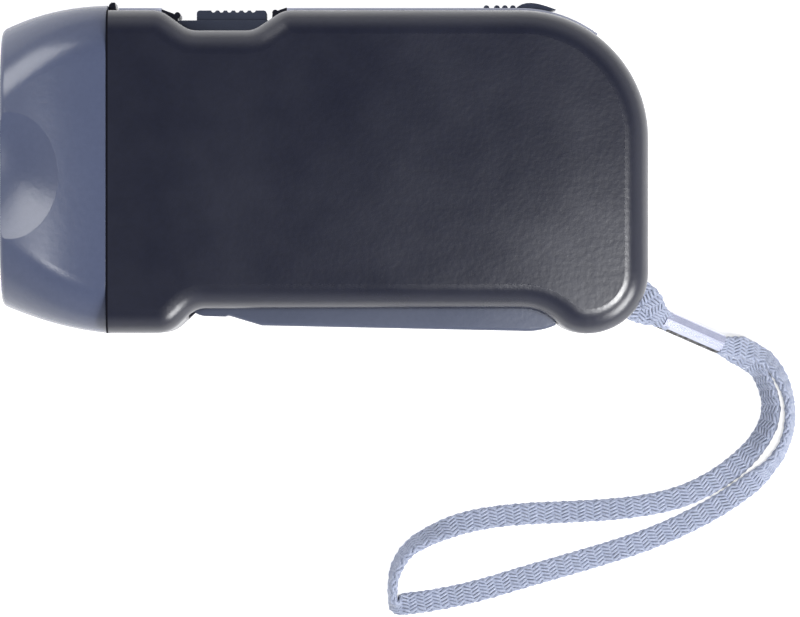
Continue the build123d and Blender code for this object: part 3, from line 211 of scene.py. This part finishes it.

# %% [markdown]
# ## The strap's route
# A free cord comes first, because it decides how far the model spreads. The strap leaves the
# casing's lower rear corner, passes through a crimp and makes one long narrow loop on the floor.
# A NURBS spline with a few listed points gives a line as smooth as a limp braid lies.
# Where the braid stands on edge, its points lie higher, so that it stays above the floor.

# %% Route points, in millimetres
PIN = Vector((46.3, -18.8, THICKNESS / 2))
EXIT_ANGLE = math.radians(-27.0)
CRIMP_FRONT = Vector((55.0, -24.3, 15.5))
CRIMP_REAR = Vector((64.7, -28.45, 7.6))
CRIMP_LEAD = 1.2  # how far the plies run straight outside the crimp
CRIMP_HOLD = 1.3  # how far inside the crimp the neck's plies start
PLY = 0.52  # from the crimp's middle line to each ply's
EXIT_REACH = 6.2  # from the pin to where the plies leave the casing
EXIT_SPREAD = 1.75
EXIT_LIFT = 0.5
PIN_REACH = 1.85
along = (CRIMP_REAR - CRIMP_FRONT).normalized()
side = Vector((0, 0, 1)).cross(along).normalized()
up = along.cross(side)
out = Vector((math.cos(EXIT_ANGLE), math.sin(EXIT_ANGLE), 0))
across = Vector((-out.y, out.x, 0))
LOOP = [
    (68.4, -28.9, 6.0),
    (71.2, -30.0, 3.9),
    (73.5, -31.5, 2.8),
    (75.2, -33.9, 2.3),
    (76.4, -36.9, 2.1),
    (76.8, -40.3, 2.0),
    (76.2, -44.4, 2.0),
    (73.9, -48.4, 1.9),
    (69.3, -52.4, 1.25),
    (62.5, -56.8, 0.8),
    (53.5, -60.9, 0.78),
    (43.6, -64.0, 0.78),
    (33.7, -66.8, 0.78),
    (24.5, -69.6, 0.78),
    (17.5, -71.0, 0.8),
    (13.2, -71.5, 1.0),
    (11.1, -71.9, 1.85),
    (10.9, -70.2, 1.95),
    (10.9, -68.2, 1.95),
    (11.5, -65.4, 1.95),
    (13.4, -62.4, 1.85),
    (17.0, -60.2, 1.5),
    (22.9, -57.9, 1.0),
    (30.7, -56.7, 0.78),
    (40.3, -56.3, 0.78),
    (49.4, -55.8, 0.78),
    (57.8, -54.3, 0.8),
    (64.5, -51.2, 0.9),
    (69.8, -47.0, 1.25),
    (73.0, -42.5, 1.45),
    (73.75, -38.6, 1.5),
    (72.6, -35.0, 1.8),
    (71.4, -32.7, 2.5),
    (69.3, -31.0, 3.7),
]
loop_start = CRIMP_REAR + up * PLY
loop_end = CRIMP_REAR - up * PLY
loop_route = [
    loop_start,
    loop_start + along * CRIMP_LEAD,
    *[Vector(spot) for spot in LOOP],
    loop_end + along * CRIMP_LEAD,
    loop_end,
]


def neck_side(sign):
    """One ply of the neck, from just inside the crimp to the pin in the casing."""
    at_crimp = CRIMP_FRONT + up * sign * PLY
    return [
        at_crimp + along * CRIMP_HOLD,
        at_crimp - along * CRIMP_LEAD,
        PIN + out * EXIT_REACH + across * sign * EXIT_SPREAD + Vector((0, 0, EXIT_LIFT * sign)),
        PIN + across * sign * PIN_REACH - out * PIN_REACH,
    ]


neck_route = neck_side(1) + neck_side(-1)[::-1]
print("route points:", len(loop_route), "in the loop,", len(neck_route), "in the neck")


# %% A smooth line through a route
def smooth_line(name, points_mm, steps=16):
    """The points of a NURBS spline of order 3, in metres, close together."""
    data = bpy.data.curves.new(name, "CURVE")
    data.dimensions = "3D"
    data.resolution_u = steps
    spline = data.splines.new("NURBS")
    spline.points.add(len(points_mm) - 1)
    for point, place in zip(spline.points, points_mm):
        point.co = (*(place * MM), 1)
    spline.order_u = 3
    spline.use_endpoint_u = True
    holder = bpy.data.objects.new(name, data)
    mesh = bpy.data.meshes.new_from_object(holder)
    line = [v.co.copy() for v in mesh.vertices]
    bpy.data.objects.remove(holder)
    bpy.data.meshes.remove(mesh)
    return line


def line_length(line):
    """The length of a chain of points."""
    return sum((b - a).length for a, b in zip(line, line[1:]))


def even_line(line, step):
    """The same line with its points at one even distance."""
    total_length = line_length(line)
    count = max(8, round(total_length / step))
    evenly, travelled, index = [], 0.0, 0
    for k in range(count + 1):
        goal = total_length * k / count
        while index < len(line) - 2 and travelled + (line[index + 1] - line[index]).length < goal:
            travelled += (line[index + 1] - line[index]).length
            index += 1
        piece = line[index + 1] - line[index]
        evenly.append(line[index] + piece * ((goal - travelled) / max(piece.length, 1e-9)))
    return evenly


loop_line = smooth_line("loop_route", loop_route)
neck_line = smooth_line("neck_route", neck_route)
print("loop", round(line_length(loop_line) / MM, 1), "mm, neck", round(line_length(neck_line) / MM, 1), "mm")

# %% [markdown]
# ## The braid
# The strap is a flat tubular braid: twelve yarns wind one way and twelve the other, each passing
# over two and under two, and the tube is pressed flat. Real yarns give the right chevrons from
# every side, so each one is a thin curve that runs around a flattened section while it moves
# along the route, and its height wavers where it crosses the others.

# %% Yarn paths
YARNS_EACH_WAY = 12
LAY_LENGTH = 16.0 * MM
HALF_WIDTH = 1.52 * MM
HALF_DEPTH = 0.32 * MM
YARN_RADIUS = 0.28 * MM
WAVER = 0.13 * MM
BRAID_STEP = 0.42 * MM


def around_section(share):
    """A point on the flattened tube's middle line, and its outward direction, at a share of its girth."""
    flat = 2 * (HALF_WIDTH - HALF_DEPTH)
    bend = math.pi * HALF_DEPTH
    place = (share % 1.0) * 2 * (flat + bend)
    turned = place >= flat + bend
    place -= (flat + bend) * turned
    sign = -1 if turned else 1
    if place < flat:
        return Vector((sign * (place - flat / 2), sign * HALF_DEPTH)), Vector((0, sign))
    angle = math.pi / 2 - (place - flat) / HALF_DEPTH
    outward = Vector((math.cos(angle), math.sin(angle)))
    return sign * (Vector((flat / 2, 0)) + outward * HALF_DEPTH), sign * outward


def value_at(share, pairs):
    """A value that changes smoothly between (share of the length, value) pairs."""
    for (s0, r0), (s1, r1) in zip(pairs, pairs[1:]):
        if s0 <= share <= s1:
            t = (share - s0) / max(s1 - s0, 1e-9)
            t = t * t * (3 - 2 * t)
            return r0 + (r1 - r0) * t
    return pairs[-1][1]


def braid_frames(line, rolls):
    """For each point of a line: the point, the braid's width direction and its thickness direction."""
    frames = []
    for k, point in enumerate(line):
        tangent = (line[min(k + 1, len(line) - 1)] - line[max(k - 1, 0)]).normalized()
        level = Vector((0, 0, 1)).cross(tangent).normalized()
        upward = tangent.cross(level).normalized()
        angle = math.radians(value_at(k / (len(line) - 1), rolls))
        width = level * math.cos(angle) + upward * math.sin(angle)
        frames.append((point, width, tangent.cross(width).normalized()))
    return frames


def braid(name, line, rolls, widths, material):
    """A flat braid along a line, as one mesh of round yarns."""
    evenly = even_line(line, BRAID_STEP)
    frames = braid_frames(evenly, rolls)
    step = line_length(evenly) / (len(evenly) - 1)
    data = bpy.data.curves.new(name, "CURVE")
    data.dimensions = "3D"
    data.bevel_depth = YARN_RADIUS
    data.bevel_resolution = 1
    data.use_fill_caps = True
    for yarn in range(2 * YARNS_EACH_WAY):
        way = 1 if yarn < YARNS_EACH_WAY else -1
        spline = data.splines.new("POLY")
        spline.points.add(len(frames) - 1)
        for k, (point, width, depth) in enumerate(frames):
            turns = k * step / LAY_LENGTH
            wide = value_at(k / (len(frames) - 1), widths)
            spot, outward = around_section(yarn / YARNS_EACH_WAY + way * turns)
            crossing = YARNS_EACH_WAY * math.pi * turns - math.pi / 4  # over two yarns, then under two
            spot = spot + outward * (way * WAVER * math.cos(crossing))
            spline.points[k].co = (*(point + width * spot.x * wide + depth * spot.y), 1)
    holder = bpy.data.objects.new(name + "_curve", data)
    mesh = bpy.data.meshes.new_from_object(holder)
    mesh.name = name
    bpy.data.objects.remove(holder)
    piece = bpy.data.objects.new(name, mesh)
    mesh.materials.clear()
    mesh.materials.append(material)
    for face in mesh.polygons:
        face.use_smooth = True
    bpy.context.scene.collection.objects.link(piece)
    return piece, evenly


# %% Yarn finish
YARN_DARK = (0.2, 0.23, 0.34, 1)
YARN_LIGHT = (0.39, 0.43, 0.54, 1)
FIBRE_SCALE = 5200.0
PATCH_SCALE = 160.0
YARN_SHADE_REACH = 0.45 * MM
FIBRE_DEPTH = 0.06 * MM
strap_finish, tree, shader = new_material("strap_yarn")
place = add_node(tree, "ShaderNodeTexCoord").outputs["Object"]
fibres = add_node(
    tree,
    "ShaderNodeTexNoise",
    {"Vector": place, "Scale": FIBRE_SCALE, "Detail": 3.0, "Roughness": 0.6},
)
patches = add_node(tree, "ShaderNodeTexNoise", {"Vector": place, "Scale": PATCH_SCALE, "Detail": 2.0})
yarn_tone = add_node(tree, "ShaderNodeValToRGB", {"Fac": fibres.outputs["Fac"]})
yarn_tone.color_ramp.elements[0].position = 0.3
yarn_tone.color_ramp.elements[0].color = YARN_DARK
yarn_tone.color_ramp.elements[1].position = 0.7
yarn_tone.color_ramp.elements[1].color = YARN_LIGHT
patch_tone = moved_range(tree, patches.outputs["Fac"], 0.86, 1.12)
# Ambient occlusion paints shade into the yarns' colour: painted shade in the gaps between the yarns.
gaps = add_node(tree, "ShaderNodeAmbientOcclusion", {"Distance": YARN_SHADE_REACH}, samples=8)
painted_gap_shade = moved_range(tree, gaps.outputs["AO"], 0.35, 1.08, start=0.2, end=0.85)
yarn_colour_with_painted_shade = multiplied(tree, multiplied(tree, yarn_tone.outputs["Color"], patch_tone), painted_gap_shade)
tree.links.new(yarn_colour_with_painted_shade, shader.inputs["Base Color"])
shader.inputs["Roughness"].default_value = 0.42
shader.inputs["Sheen Weight"].default_value = 0.35
shader.inputs["Sheen Roughness"].default_value = 0.4
yarn_bump = add_node(
    tree, "ShaderNodeBump", {"Height": fibres.outputs["Fac"], "Strength": 0.35, "Distance": FIBRE_DEPTH}
)
tree.links.new(yarn_bump.outputs[0], shader.inputs["Normal"])
print("yarn finish:", len(tree.nodes), "nodes")

# %% The braid's turns, in degrees from flat, and its widths, at shares of its length
LOOP_ROLLS = [
    (0.0, 0),
    (0.016, 0),
    (0.04, -42),
    (0.07, -62),
    (0.09, -74),
    (0.127, -74),
    (0.15, -60),
    (0.18, -15),
    (0.205, 0),
    (0.496, 0),
    (0.509, -84),
    (0.524, -79),
    (0.542, -65),
    (0.556, -58),
    (0.573, -42),
    (0.602, -15),
    (0.63, 0),
    (0.843, 0),
    (0.885, -30),
    (0.911, -36),
    (0.932, -48),
    (0.944, -50),
    (0.965, -28),
    (0.986, 0),
    (1.0, 0),
]
LOOP_WIDTHS = [(0.0, 0.86), (0.008, 0.88), (0.02, 1.0), (0.98, 1.0), (0.992, 0.88), (1.0, 0.86)]
NECK_ROLLS = [
    (0.0, 0),
    (0.17, -4),
    (0.27, -20),
    (0.41, -90),
    (0.59, -90),
    (0.73, -20),
    (0.83, -4),
    (1.0, 0),
]
NECK_WIDTHS = [
    (0.0, 0.84),
    (0.04, 0.86),
    (0.2, 1.08),
    (0.35, 1.0),
    (0.65, 1.0),
    (0.8, 1.08),
    (0.96, 0.86),
    (1.0, 0.84),
]
print("turns:", len(LOOP_ROLLS), "in the loop,", len(NECK_ROLLS), "in the neck")

# %% Both stretches of braid
strap_loop, loop_points = braid("strap_loop_braid", loop_line, LOOP_ROLLS, LOOP_WIDTHS, strap_finish)
strap_neck, neck_points = braid("strap_neck_braid", neck_line, NECK_ROLLS, NECK_WIDTHS, strap_finish)
for piece, node in ((strap_loop, "strap_loop"), (strap_neck, "strap_neck")):
    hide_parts(node)
    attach(piece, "housing")
    print(piece.name, "triangles:", sum(len(f.vertices) - 2 for f in piece.data.polygons))

# %% [markdown]
# ## Moulded plastic
# Every outer piece is moulded plastic with a fine eroded grain. The look comes from three
# things at their true scale: grain a third of a millimetre across as bump, slow changes of tone
# across the surface, and roughness that varies a little, so that the sheen looks alive.
# Mouldings also have no knife edges: a Bevel node rounds what light sees of them, and
# ambient occlusion paints shade into the colour of the narrow gaps between two pieces.

# %% Grained plastic
SLOW_SCALE = 45.0
SHEEN_CHANGE = 0.05
PAINTED_SHADE_REACH = 1.1 * MM


def grained(name, colour, roughness, grain=0.35, size_mm=0.3, tone=0.12, specular=0.5, edge_mm=0.0):
    """Moulded plastic: colour with slow tone changes, fine grain and an uneven sheen.

    With edge_mm, sharp edges catch the light as if they were rounded, and ambient occlusion paints shade into
    the colour of crevices.
    """
    material, tree, shader = new_material(name)
    place = add_node(tree, "ShaderNodeTexCoord").outputs["Object"]
    fine = add_node(tree, "ShaderNodeTexNoise", {"Vector": place, "Scale": 1000 / size_mm / 3, "Detail": 2.5})
    slow = add_node(
        tree,
        "ShaderNodeTexNoise",
        {"Vector": place, "Scale": SLOW_SCALE, "Detail": 3.0, "Roughness": 0.55},
    )
    both = add_node(tree, "ShaderNodeMath", {0: slow.outputs["Fac"], 1: fine.outputs["Fac"]}, operation="ADD")
    gain = moved_range(tree, both.outputs[0], 1 - tone, 1 + tone, start=0.6, end=1.4)
    tint = multiplied(tree, (*colour, 1), gain)
    sheen = moved_range(
        tree, slow.outputs["Fac"], roughness - SHEEN_CHANGE, roughness + SHEEN_CHANGE, start=0.3, end=0.7
    )
    tree.links.new(sheen, shader.inputs["Roughness"])
    bump = add_node(
        tree,
        "ShaderNodeBump",
        {"Height": fine.outputs["Fac"], "Strength": grain, "Distance": size_mm * MM * 0.3},
    )
    tree.links.new(bump.outputs[0], shader.inputs["Normal"])
    if edge_mm:
        rounded = add_node(tree, "ShaderNodeBevel", {"Radius": edge_mm * MM}, samples=6)
        tree.links.new(rounded.outputs[0], bump.inputs["Normal"])
        # Painted shade: ambient occlusion darkens the colour in crevices and in the gaps between pieces.
        near = add_node(tree, "ShaderNodeAmbientOcclusion", {"Distance": PAINTED_SHADE_REACH}, samples=8)
        painted_crevice_shade = moved_range(tree, near.outputs["AO"], 0.2, 1.0, start=0.25, end=0.8)
        tint = multiplied(tree, tint, painted_crevice_shade)
    tree.links.new(tint, shader.inputs["Base Color"])
    shader.inputs["Specular IOR Level"].default_value = specular
    return material


# %% Plastics and rubber
SHELL_COLOUR = (0.006, 0.0075, 0.019)
shell_finish = grained("shell_black", SHELL_COLOUR, 0.3, grain=0.22, tone=0.16, specular=0.75, edge_mm=0.2)
head_finish = grained("head_grey", (0.07, 0.085, 0.145), 0.24, grain=0.2, tone=0.07, edge_mm=0.3)
trim_finish = grained("trim_grey", (0.07, 0.082, 0.125), 0.32, grain=0.22, tone=0.07, edge_mm=0.25)
# The spine strip's pale colour is a painted highlight: it stands in for the bright grazing reflection on its
# top.
strip_highlight_finish = grained("strip_pale", (0.62, 0.65, 0.8), 0.45, grain=0.2, tone=0.05, edge_mm=0.2)
dark_strip_finish = grained("strip_dark", (0.02, 0.022, 0.036), 0.36, grain=0.3, tone=0.1, edge_mm=0.2)
nylon_finish = grained("gear_white", (0.8, 0.8, 0.76), 0.4, grain=0.1, tone=0.04)
frame_finish = grained("frame_black", (0.05, 0.05, 0.055), 0.5, grain=0.2)
rubber_finish = grained("seal_rubber", (0.018, 0.018, 0.019), 0.7, grain=0.4)
print("casing colour:", SHELL_COLOUR)

# %% [markdown]
# ## Metals, glass and small electric parts
# Steel pins are turned, so their fine lines run around the axis. Stretching a noise pattern in
# the two directions across the length gives such lines with no image at all.

# %% Metal with fine lines
ROUGH_CHANGE = 0.08
LINE_HEIGHT = 0.04 * MM


def lined_metal(name, colour, roughness, stretch=(300.0, 300.0, 4000.0), line_depth=0.15):
    """Metal whose noise pattern is drawn out along the surface."""
    material, tree, shader = new_material(name)
    place = add_node(tree, "ShaderNodeTexCoord").outputs["Object"]
    drawn = add_node(tree, "ShaderNodeMapping", {"Vector": place, "Scale": stretch})
    lines = add_node(tree, "ShaderNodeTexNoise", {"Vector": drawn.outputs[0], "Scale": 1.0, "Detail": 3.0})
    shader.inputs["Metallic"].default_value = 1.0
    tone = add_node(
        tree,
        "ShaderNodeMix",
        {
            "Factor": lines.outputs["Fac"],
            "A": (*[0.78 * c for c in colour], 1),
            "B": (*[min(1.0, 1.12 * c) for c in colour], 1),
        },
        data_type="RGBA",
    )
    tree.links.new(tone.outputs["Result"], shader.inputs["Base Color"])
    rough = moved_range(tree, lines.outputs["Fac"], roughness - ROUGH_CHANGE, roughness + ROUGH_CHANGE)
    tree.links.new(rough, shader.inputs["Roughness"])
    bump = add_node(
        tree,
        "ShaderNodeBump",
        {"Height": lines.outputs["Fac"], "Strength": line_depth, "Distance": LINE_HEIGHT},
    )
    tree.links.new(bump.outputs[0], shader.inputs["Normal"])
    return material


# %% Metals and electric parts
steel_finish = lined_metal("steel", (0.62, 0.62, 0.64), 0.3)
nickel_finish = lined_metal("nickel", (0.7, 0.68, 0.63), 0.28, (2500.0, 400.0, 400.0))
brass_finish = lined_metal("contact_brass", (0.83, 0.62, 0.28), 0.28, (600.0, 600.0, 2600.0))
copper_finish = lined_metal("copper", (0.8, 0.36, 0.17), 0.35, (500.0, 500.0, 5200.0), 0.8)
ferrite_finish = grained("ferrite", (0.06, 0.06, 0.065), 0.6, grain=0.4, size_mm=0.15)
crimp_finish = lined_metal("crimp", (0.82, 0.83, 0.88), 0.24, (700.0, 700.0, 700.0), 0.25)
mirror_finish = lined_metal("reflector_bright", (0.93, 0.93, 0.95), 0.12, (90.0, 90.0, 90.0), 0.1)
board_finish = grained("board_green", (0.02, 0.16, 0.05), 0.3, grain=0.2, size_mm=0.6, tone=0.2)
diode_finish = grained("diode_black", (0.02, 0.02, 0.02), 0.35, grain=0.1)
capacitor_finish = grained("capacitor_sleeve", (0.02, 0.035, 0.16), 0.25, grain=0.1, tone=0.06)
battery_finish = grained("battery_sleeve", (0.04, 0.3, 0.1), 0.28, grain=0.15, size_mm=0.8, tone=0.08)
wire_finish = grained("wire_red", (0.55, 0.025, 0.02), 0.35, grain=0.1, tone=0.08)
print("materials:", len(bpy.data.materials))


# %% Clear window and lamps
ACRYLIC_IOR = 1.49


def clear(name, colour, roughness, haze_change=0.03):
    """Clear plastic with faint fine scratches."""
    material, tree, shader = new_material(name)
    place = add_node(tree, "ShaderNodeTexCoord").outputs["Object"]
    haze = add_node(tree, "ShaderNodeTexNoise", {"Vector": place, "Scale": 700.0, "Detail": 4.0})
    rough = moved_range(tree, haze.outputs["Fac"], roughness, roughness + haze_change)
    tree.links.new(rough, shader.inputs["Roughness"])
    shader.inputs["Base Color"].default_value = (*colour, 1)
    shader.inputs["Transmission Weight"].default_value = 1.0
    shader.inputs["IOR"].default_value = ACRYLIC_IOR
    return material


lens_finish = clear("lens_clear", (0.97, 0.98, 1.0), 0.03)
led_finish = clear("led_clear", (0.95, 0.96, 1.0), 0.08)

# %% Finishes on the frame's nodes
FINISHES = {
    "shell_black": shell_finish,
    "head_grey": head_finish,
    "trim_grey": trim_finish,
    "strip_pale": strip_highlight_finish,
    "strip_dark": dark_strip_finish,
    "lens_clear": lens_finish,
    "seal_rubber": rubber_finish,
    "reflector_bright": mirror_finish,
    "led_clear": led_finish,
    "board_green": board_finish,
    "diode_black": diode_finish,
    "capacitor_sleeve": capacitor_finish,
    "battery_sleeve": battery_finish,
    "nickel": nickel_finish,
    "wire_red": wire_finish,
    "contact_brass": brass_finish,
    "gear_white": nylon_finish,
    "pinion_brass": brass_finish,
    "steel": steel_finish,
    "ferrite": ferrite_finish,
    "soft_iron": steel_finish,
    "copper": copper_finish,
    "frame_black": frame_finish,
    "crimp": crimp_finish,
    "strap_cord": strap_finish,
}
for row in frame["record"]["subparts"]:
    node = frame["nodes"][row["node"]]
    for spot in node.material_slots:
        spot.material = FINISHES[row["material_slot"]]
print("finishes:", len(FINISHES))

# %% [markdown]
# ## The folded crimp and the painted shadow in the seam behind the head
# Both start as a circle whose points are moved onto a drawn section, and are then extruded: the
# crimp along the strap, the seam's thin band by its own width. The crimp is a folded sheet with
# one fold on top, and its lower side is dark: a rough cut edge, with painted shade there too.


# %% Extruded section helper
def hollow_piece(name, outside, inside, place_on, pull, material):
    """A hollow prism: two drawn sections joined at one end, then extruded along a pull."""
    bm = bmesh.new()
    rims = []
    for section in (outside, inside):
        ring = bmesh.ops.create_circle(bm, segments=len(section), radius=MM)["verts"]
        for vert, spot in zip(ring, section):
            vert.co = place_on(spot)
        rims += [e for e in bm.edges if e.verts[0] in ring]
    bridged = bmesh.ops.bridge_loops(bm, edges=rims)["faces"]
    moved = bmesh.ops.extrude_face_region(bm, geom=bridged)["geom"]
    bmesh.ops.translate(bm, vec=pull, verts=[v for v in moved if isinstance(v, bmesh.types.BMVert)])
    bmesh.ops.recalc_face_normals(bm, faces=bm.faces)
    mesh = bpy.data.meshes.new(name)
    bm.to_mesh(mesh)
    bm.free()
    piece = bpy.data.objects.new(name, mesh)
    mesh.materials.append(material)
    bpy.context.scene.collection.objects.link(piece)
    return piece


# %% Crimp finish
SHEET_TONES = ((0.42, 0.44, 0.56, 1), (0.52, 0.54, 0.66, 1))
CUT_AND_SHADE_SIDE = 1.18 * MM  # from the crimp's middle to where its dark lower band starts: rough cut edge and painted shade
CUT_BLEND = 0.04 * MM
crimp_metal, tree, shader = new_material("crimp_metal")
place = add_node(tree, "ShaderNodeTexCoord").outputs["Object"]
sideways = add_node(
    tree, "ShaderNodeVectorMath", {0: place, 1: tuple(-side)}, operation="DOT_PRODUCT"
).outputs["Value"]
shaded_cut_at = -(CRIMP_FRONT * MM).dot(side) + CUT_AND_SHADE_SIDE
# The dark band along the crimp's lower side is partly a rough cut edge and partly painted shade under the
# crimp.
cut_and_shade_mask = moved_range(tree, sideways, 0.0, 1.0, start=shaded_cut_at - CUT_BLEND, end=shaded_cut_at + CUT_BLEND)
rough_cut = add_node(tree, "ShaderNodeTexNoise", {"Vector": place, "Scale": 2600.0, "Detail": 3.0})
cut_and_painted_shade_tone = moved_range(tree, rough_cut.outputs["Fac"], 0.015, 0.3, start=0.4, end=0.7)
scratches = add_node(tree, "ShaderNodeTexNoise", {"Vector": place, "Scale": 900.0, "Detail": 3.0})
sheet_tone = add_node(
    tree,
    "ShaderNodeMix",
    {"Factor": scratches.outputs["Fac"], "A": SHEET_TONES[0], "B": SHEET_TONES[1]},
    data_type="RGBA",
)
mixed = add_node(
    tree,
    "ShaderNodeMix",
    {"Factor": cut_and_shade_mask, "A": sheet_tone.outputs["Result"], "B": cut_and_painted_shade_tone},
    data_type="RGBA",
)
tree.links.new(mixed.outputs["Result"], shader.inputs["Base Color"])
shader.inputs["Metallic"].default_value = 1.0
tree.links.new(moved_range(tree, cut_and_shade_mask, 0.22, 0.6), shader.inputs["Roughness"])
crimp_bump = add_node(
    tree,
    "ShaderNodeBump",
    {"Height": scratches.outputs["Fac"], "Strength": 0.12, "Distance": LINE_HEIGHT},
)
tree.links.new(crimp_bump.outputs[0], shader.inputs["Normal"])
print("crimp finish:", len(tree.nodes), "nodes")

# %% Folded crimp: its section in millimetres, sideways and up from its middle line
CRIMP_SECTION = [
    (1.62, -0.9),
    (1.68, 0.3),
    (1.48, 1.0),
    (0.4, 1.34),
    (0.3, 1.42),
    (0.2, 1.34),
    (-0.62, 1.28),
    (-1.2, 0.86),
    (-1.6, 0.2),
    (-1.66, -0.9),
    (-1.35, -1.4),
    (1.3, -1.4),
]
INSIDE_SHARE = 0.84
crimp = hollow_piece(
    "strap_crimp",
    CRIMP_SECTION,
    [(s * INSIDE_SHARE, u * INSIDE_SHARE) for s, u in CRIMP_SECTION],
    lambda spot: (CRIMP_FRONT + side * spot[0] + up * spot[1]) * MM,
    (CRIMP_REAR - CRIMP_FRONT) * MM,
    crimp_metal,
)
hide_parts("strap_ferrule")
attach(crimp, "housing")
print("crimp:", round((CRIMP_REAR - CRIMP_FRONT).length, 1), "mm long")

# %% Painted shadow in the seam between the head and the casing, in millimetres
SEAM_X = -35.22
SEAM_WIDTH = 0.3
SEAM_PROUD = 0.04
SEAM_DEPTH = 0.3
CORNER = 3.9
CORNER_STEPS = 8
TOP_Y, CHIN_Y = 25.5, -26.6
# The band is near black: a painted shadow standing in for the shade in the gap between head and casing.
seam_shadow_finish = grained("seam_painted_shadow", (0.002, 0.002, 0.005), 0.8, grain=0.2, specular=0.1)


def seam_section(proud):
    """The casing's section at the joint, grown a little, as points."""
    points = []
    reach = CORNER + proud
    corners = [
        (TOP_Y - CORNER, THICKNESS - CORNER, 0),
        (CHIN_Y + CORNER, THICKNESS - CORNER, 90),
        (CHIN_Y + CORNER, CORNER, 180),
        (TOP_Y - CORNER, CORNER, 270),
    ]
    for y, z, start in corners:
        for k in range(CORNER_STEPS + 1):
            angle = math.radians(start + 90 * k / CORNER_STEPS)
            points.append((y + reach * math.cos(angle), max(0.0, z + reach * math.sin(angle))))
    return points


seam = hollow_piece(
    "head_seam_shadow",
    seam_section(SEAM_PROUD),
    seam_section(-SEAM_DEPTH),
    lambda spot: Vector((SEAM_X, *spot)) * MM,
    Vector((SEAM_WIDTH * MM, 0, 0)),
    seam_shadow_finish,
)
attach(seam, "housing")
print("seam:", SEAM_WIDTH, "mm wide,", SEAM_PROUD, "mm proud")
